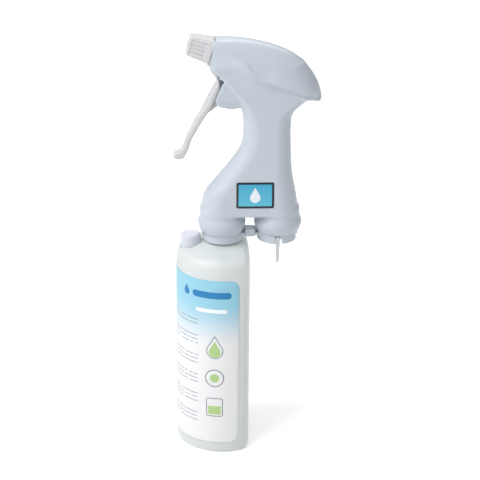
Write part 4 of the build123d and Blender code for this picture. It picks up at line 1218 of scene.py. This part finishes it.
def make_camera():
    """Camera of a long lens, looking down on the bottle's left side."""
    around = math.radians(CAMERA_AZIMUTH)
    above = math.radians(CAMERA_ELEVATION)
    level = math.cos(above)
    back = Vector((-math.sin(around) * level, -math.cos(around) * level, math.sin(above)))
    data = bpy.data.cameras.new("camera")
    data.lens = CAMERA_LENS
    data.sensor_width = 36
    camera = bpy.data.objects.new("camera", data)
    turn = back.to_track_quat("Z", "Y").to_matrix().to_4x4()
    roll = Matrix.Rotation(math.radians(CAMERA_ROLL), 4, "Z")
    camera.matrix_world = Matrix.Translation(CAMERA_TARGET + back * CAMERA_DISTANCE) @ turn @ roll
    bpy.context.scene.collection.objects.link(camera)
    bpy.context.scene.camera = camera


# ---------------------------------- build
HEAD = moulded_plastic("head_plastic", tone(198, 206, 216), 0.34, 0.04)
PALE = moulded_plastic("pale_plastic", tone(210, 211, 213), 0.36, 0.03)
BOTTLE = translucent_plastic("bottle_plastic", tone(244, 248, 248), 0.12, 0.24, 0.34)
CAP = translucent_plastic("cap_plastic", tone(232, 235, 244), 0.05, 0.2, 0.36)
TUBE = translucent_plastic("tube_plastic", tone(120, 214, 170), 0.1, 0.3, 0.2)
STEEL = bright_steel("steel")
# Materials of the CAD nodes that stay, by the record's slot
BY_SLOT = {
    "head_plastic": HEAD,
    "pale_plastic": PALE,
    "bottle_plastic": BOTTLE,
    "tube_plastic": TUBE,
    "rubber": soft_rubber("rubber"),
    "steel": STEEL,
}
# Moulded pieces: name, field, corners of a box round it, voxel, material, body, slot, node it stands for
MOULDED = [
    ("nozzle_shroud", nozzle_field, (-51, -9, 305), (-25, 9, 330), 0.4, PALE,
     "nozzle", "pale_plastic", "nozzle_cap"),
    ("trigger_lever", trigger_field, (-59, -8.2, 230), (-20, 8.2, 306), 0.4, PALE,
     "trigger", "pale_plastic", "trigger"),
    ("socket_pair", sockets_field, (-36, -15.2, 166), (36, 15.2, 198), 0.4, HEAD,
     "head", "head_plastic", "socket_frame"),
    ("bottle_body", bottle_field, (-56, -35.5, -0.5), (0.5, 35.5, 183), 0.7, BOTTLE,
     "bottle", "bottle_plastic", "bottle"),
    ("fill_cap_hood", cap_field, low("fill_cap") - Vector((1, 1, 1)), high("fill_cap"), 0.3, CAP,
     "fill_cap", "bottle_plastic", "fill_cap"),
    ("release_bar", latch_field, (-36.5, -14.5, 169.5), (36.5, 14, 176.5), 0.35, HEAD,
     "latch", "head_plastic", "latch_slide"),
]

make_head(HEAD)
for name, field, lowest, highest, voxel, material, body, slot, node in MOULDED:
    dress(solid(name, field, lowest, highest, voxel), material, body, slot, node)
make_spring("return_spring", STEEL, 0, 0.35, 7)
make_spring("latch_spring", STEEL, 1, 0.25, 6)
make_label()
make_badge()
for prong in ("front_index_prong", "rear_index_prong"):
    soften(prong, 0.3)
dress_cad(BY_SLOT)

make_floor()
make_world()
make_light("key", (-1.4, -0.85, 1.9), 1.7, 44)
make_light("fill", (1.6, -1.2, 1.2), 1.2, 1)
make_light("back", (0.4, 1.6, 1.5), 1.2, 10)
make_camera()
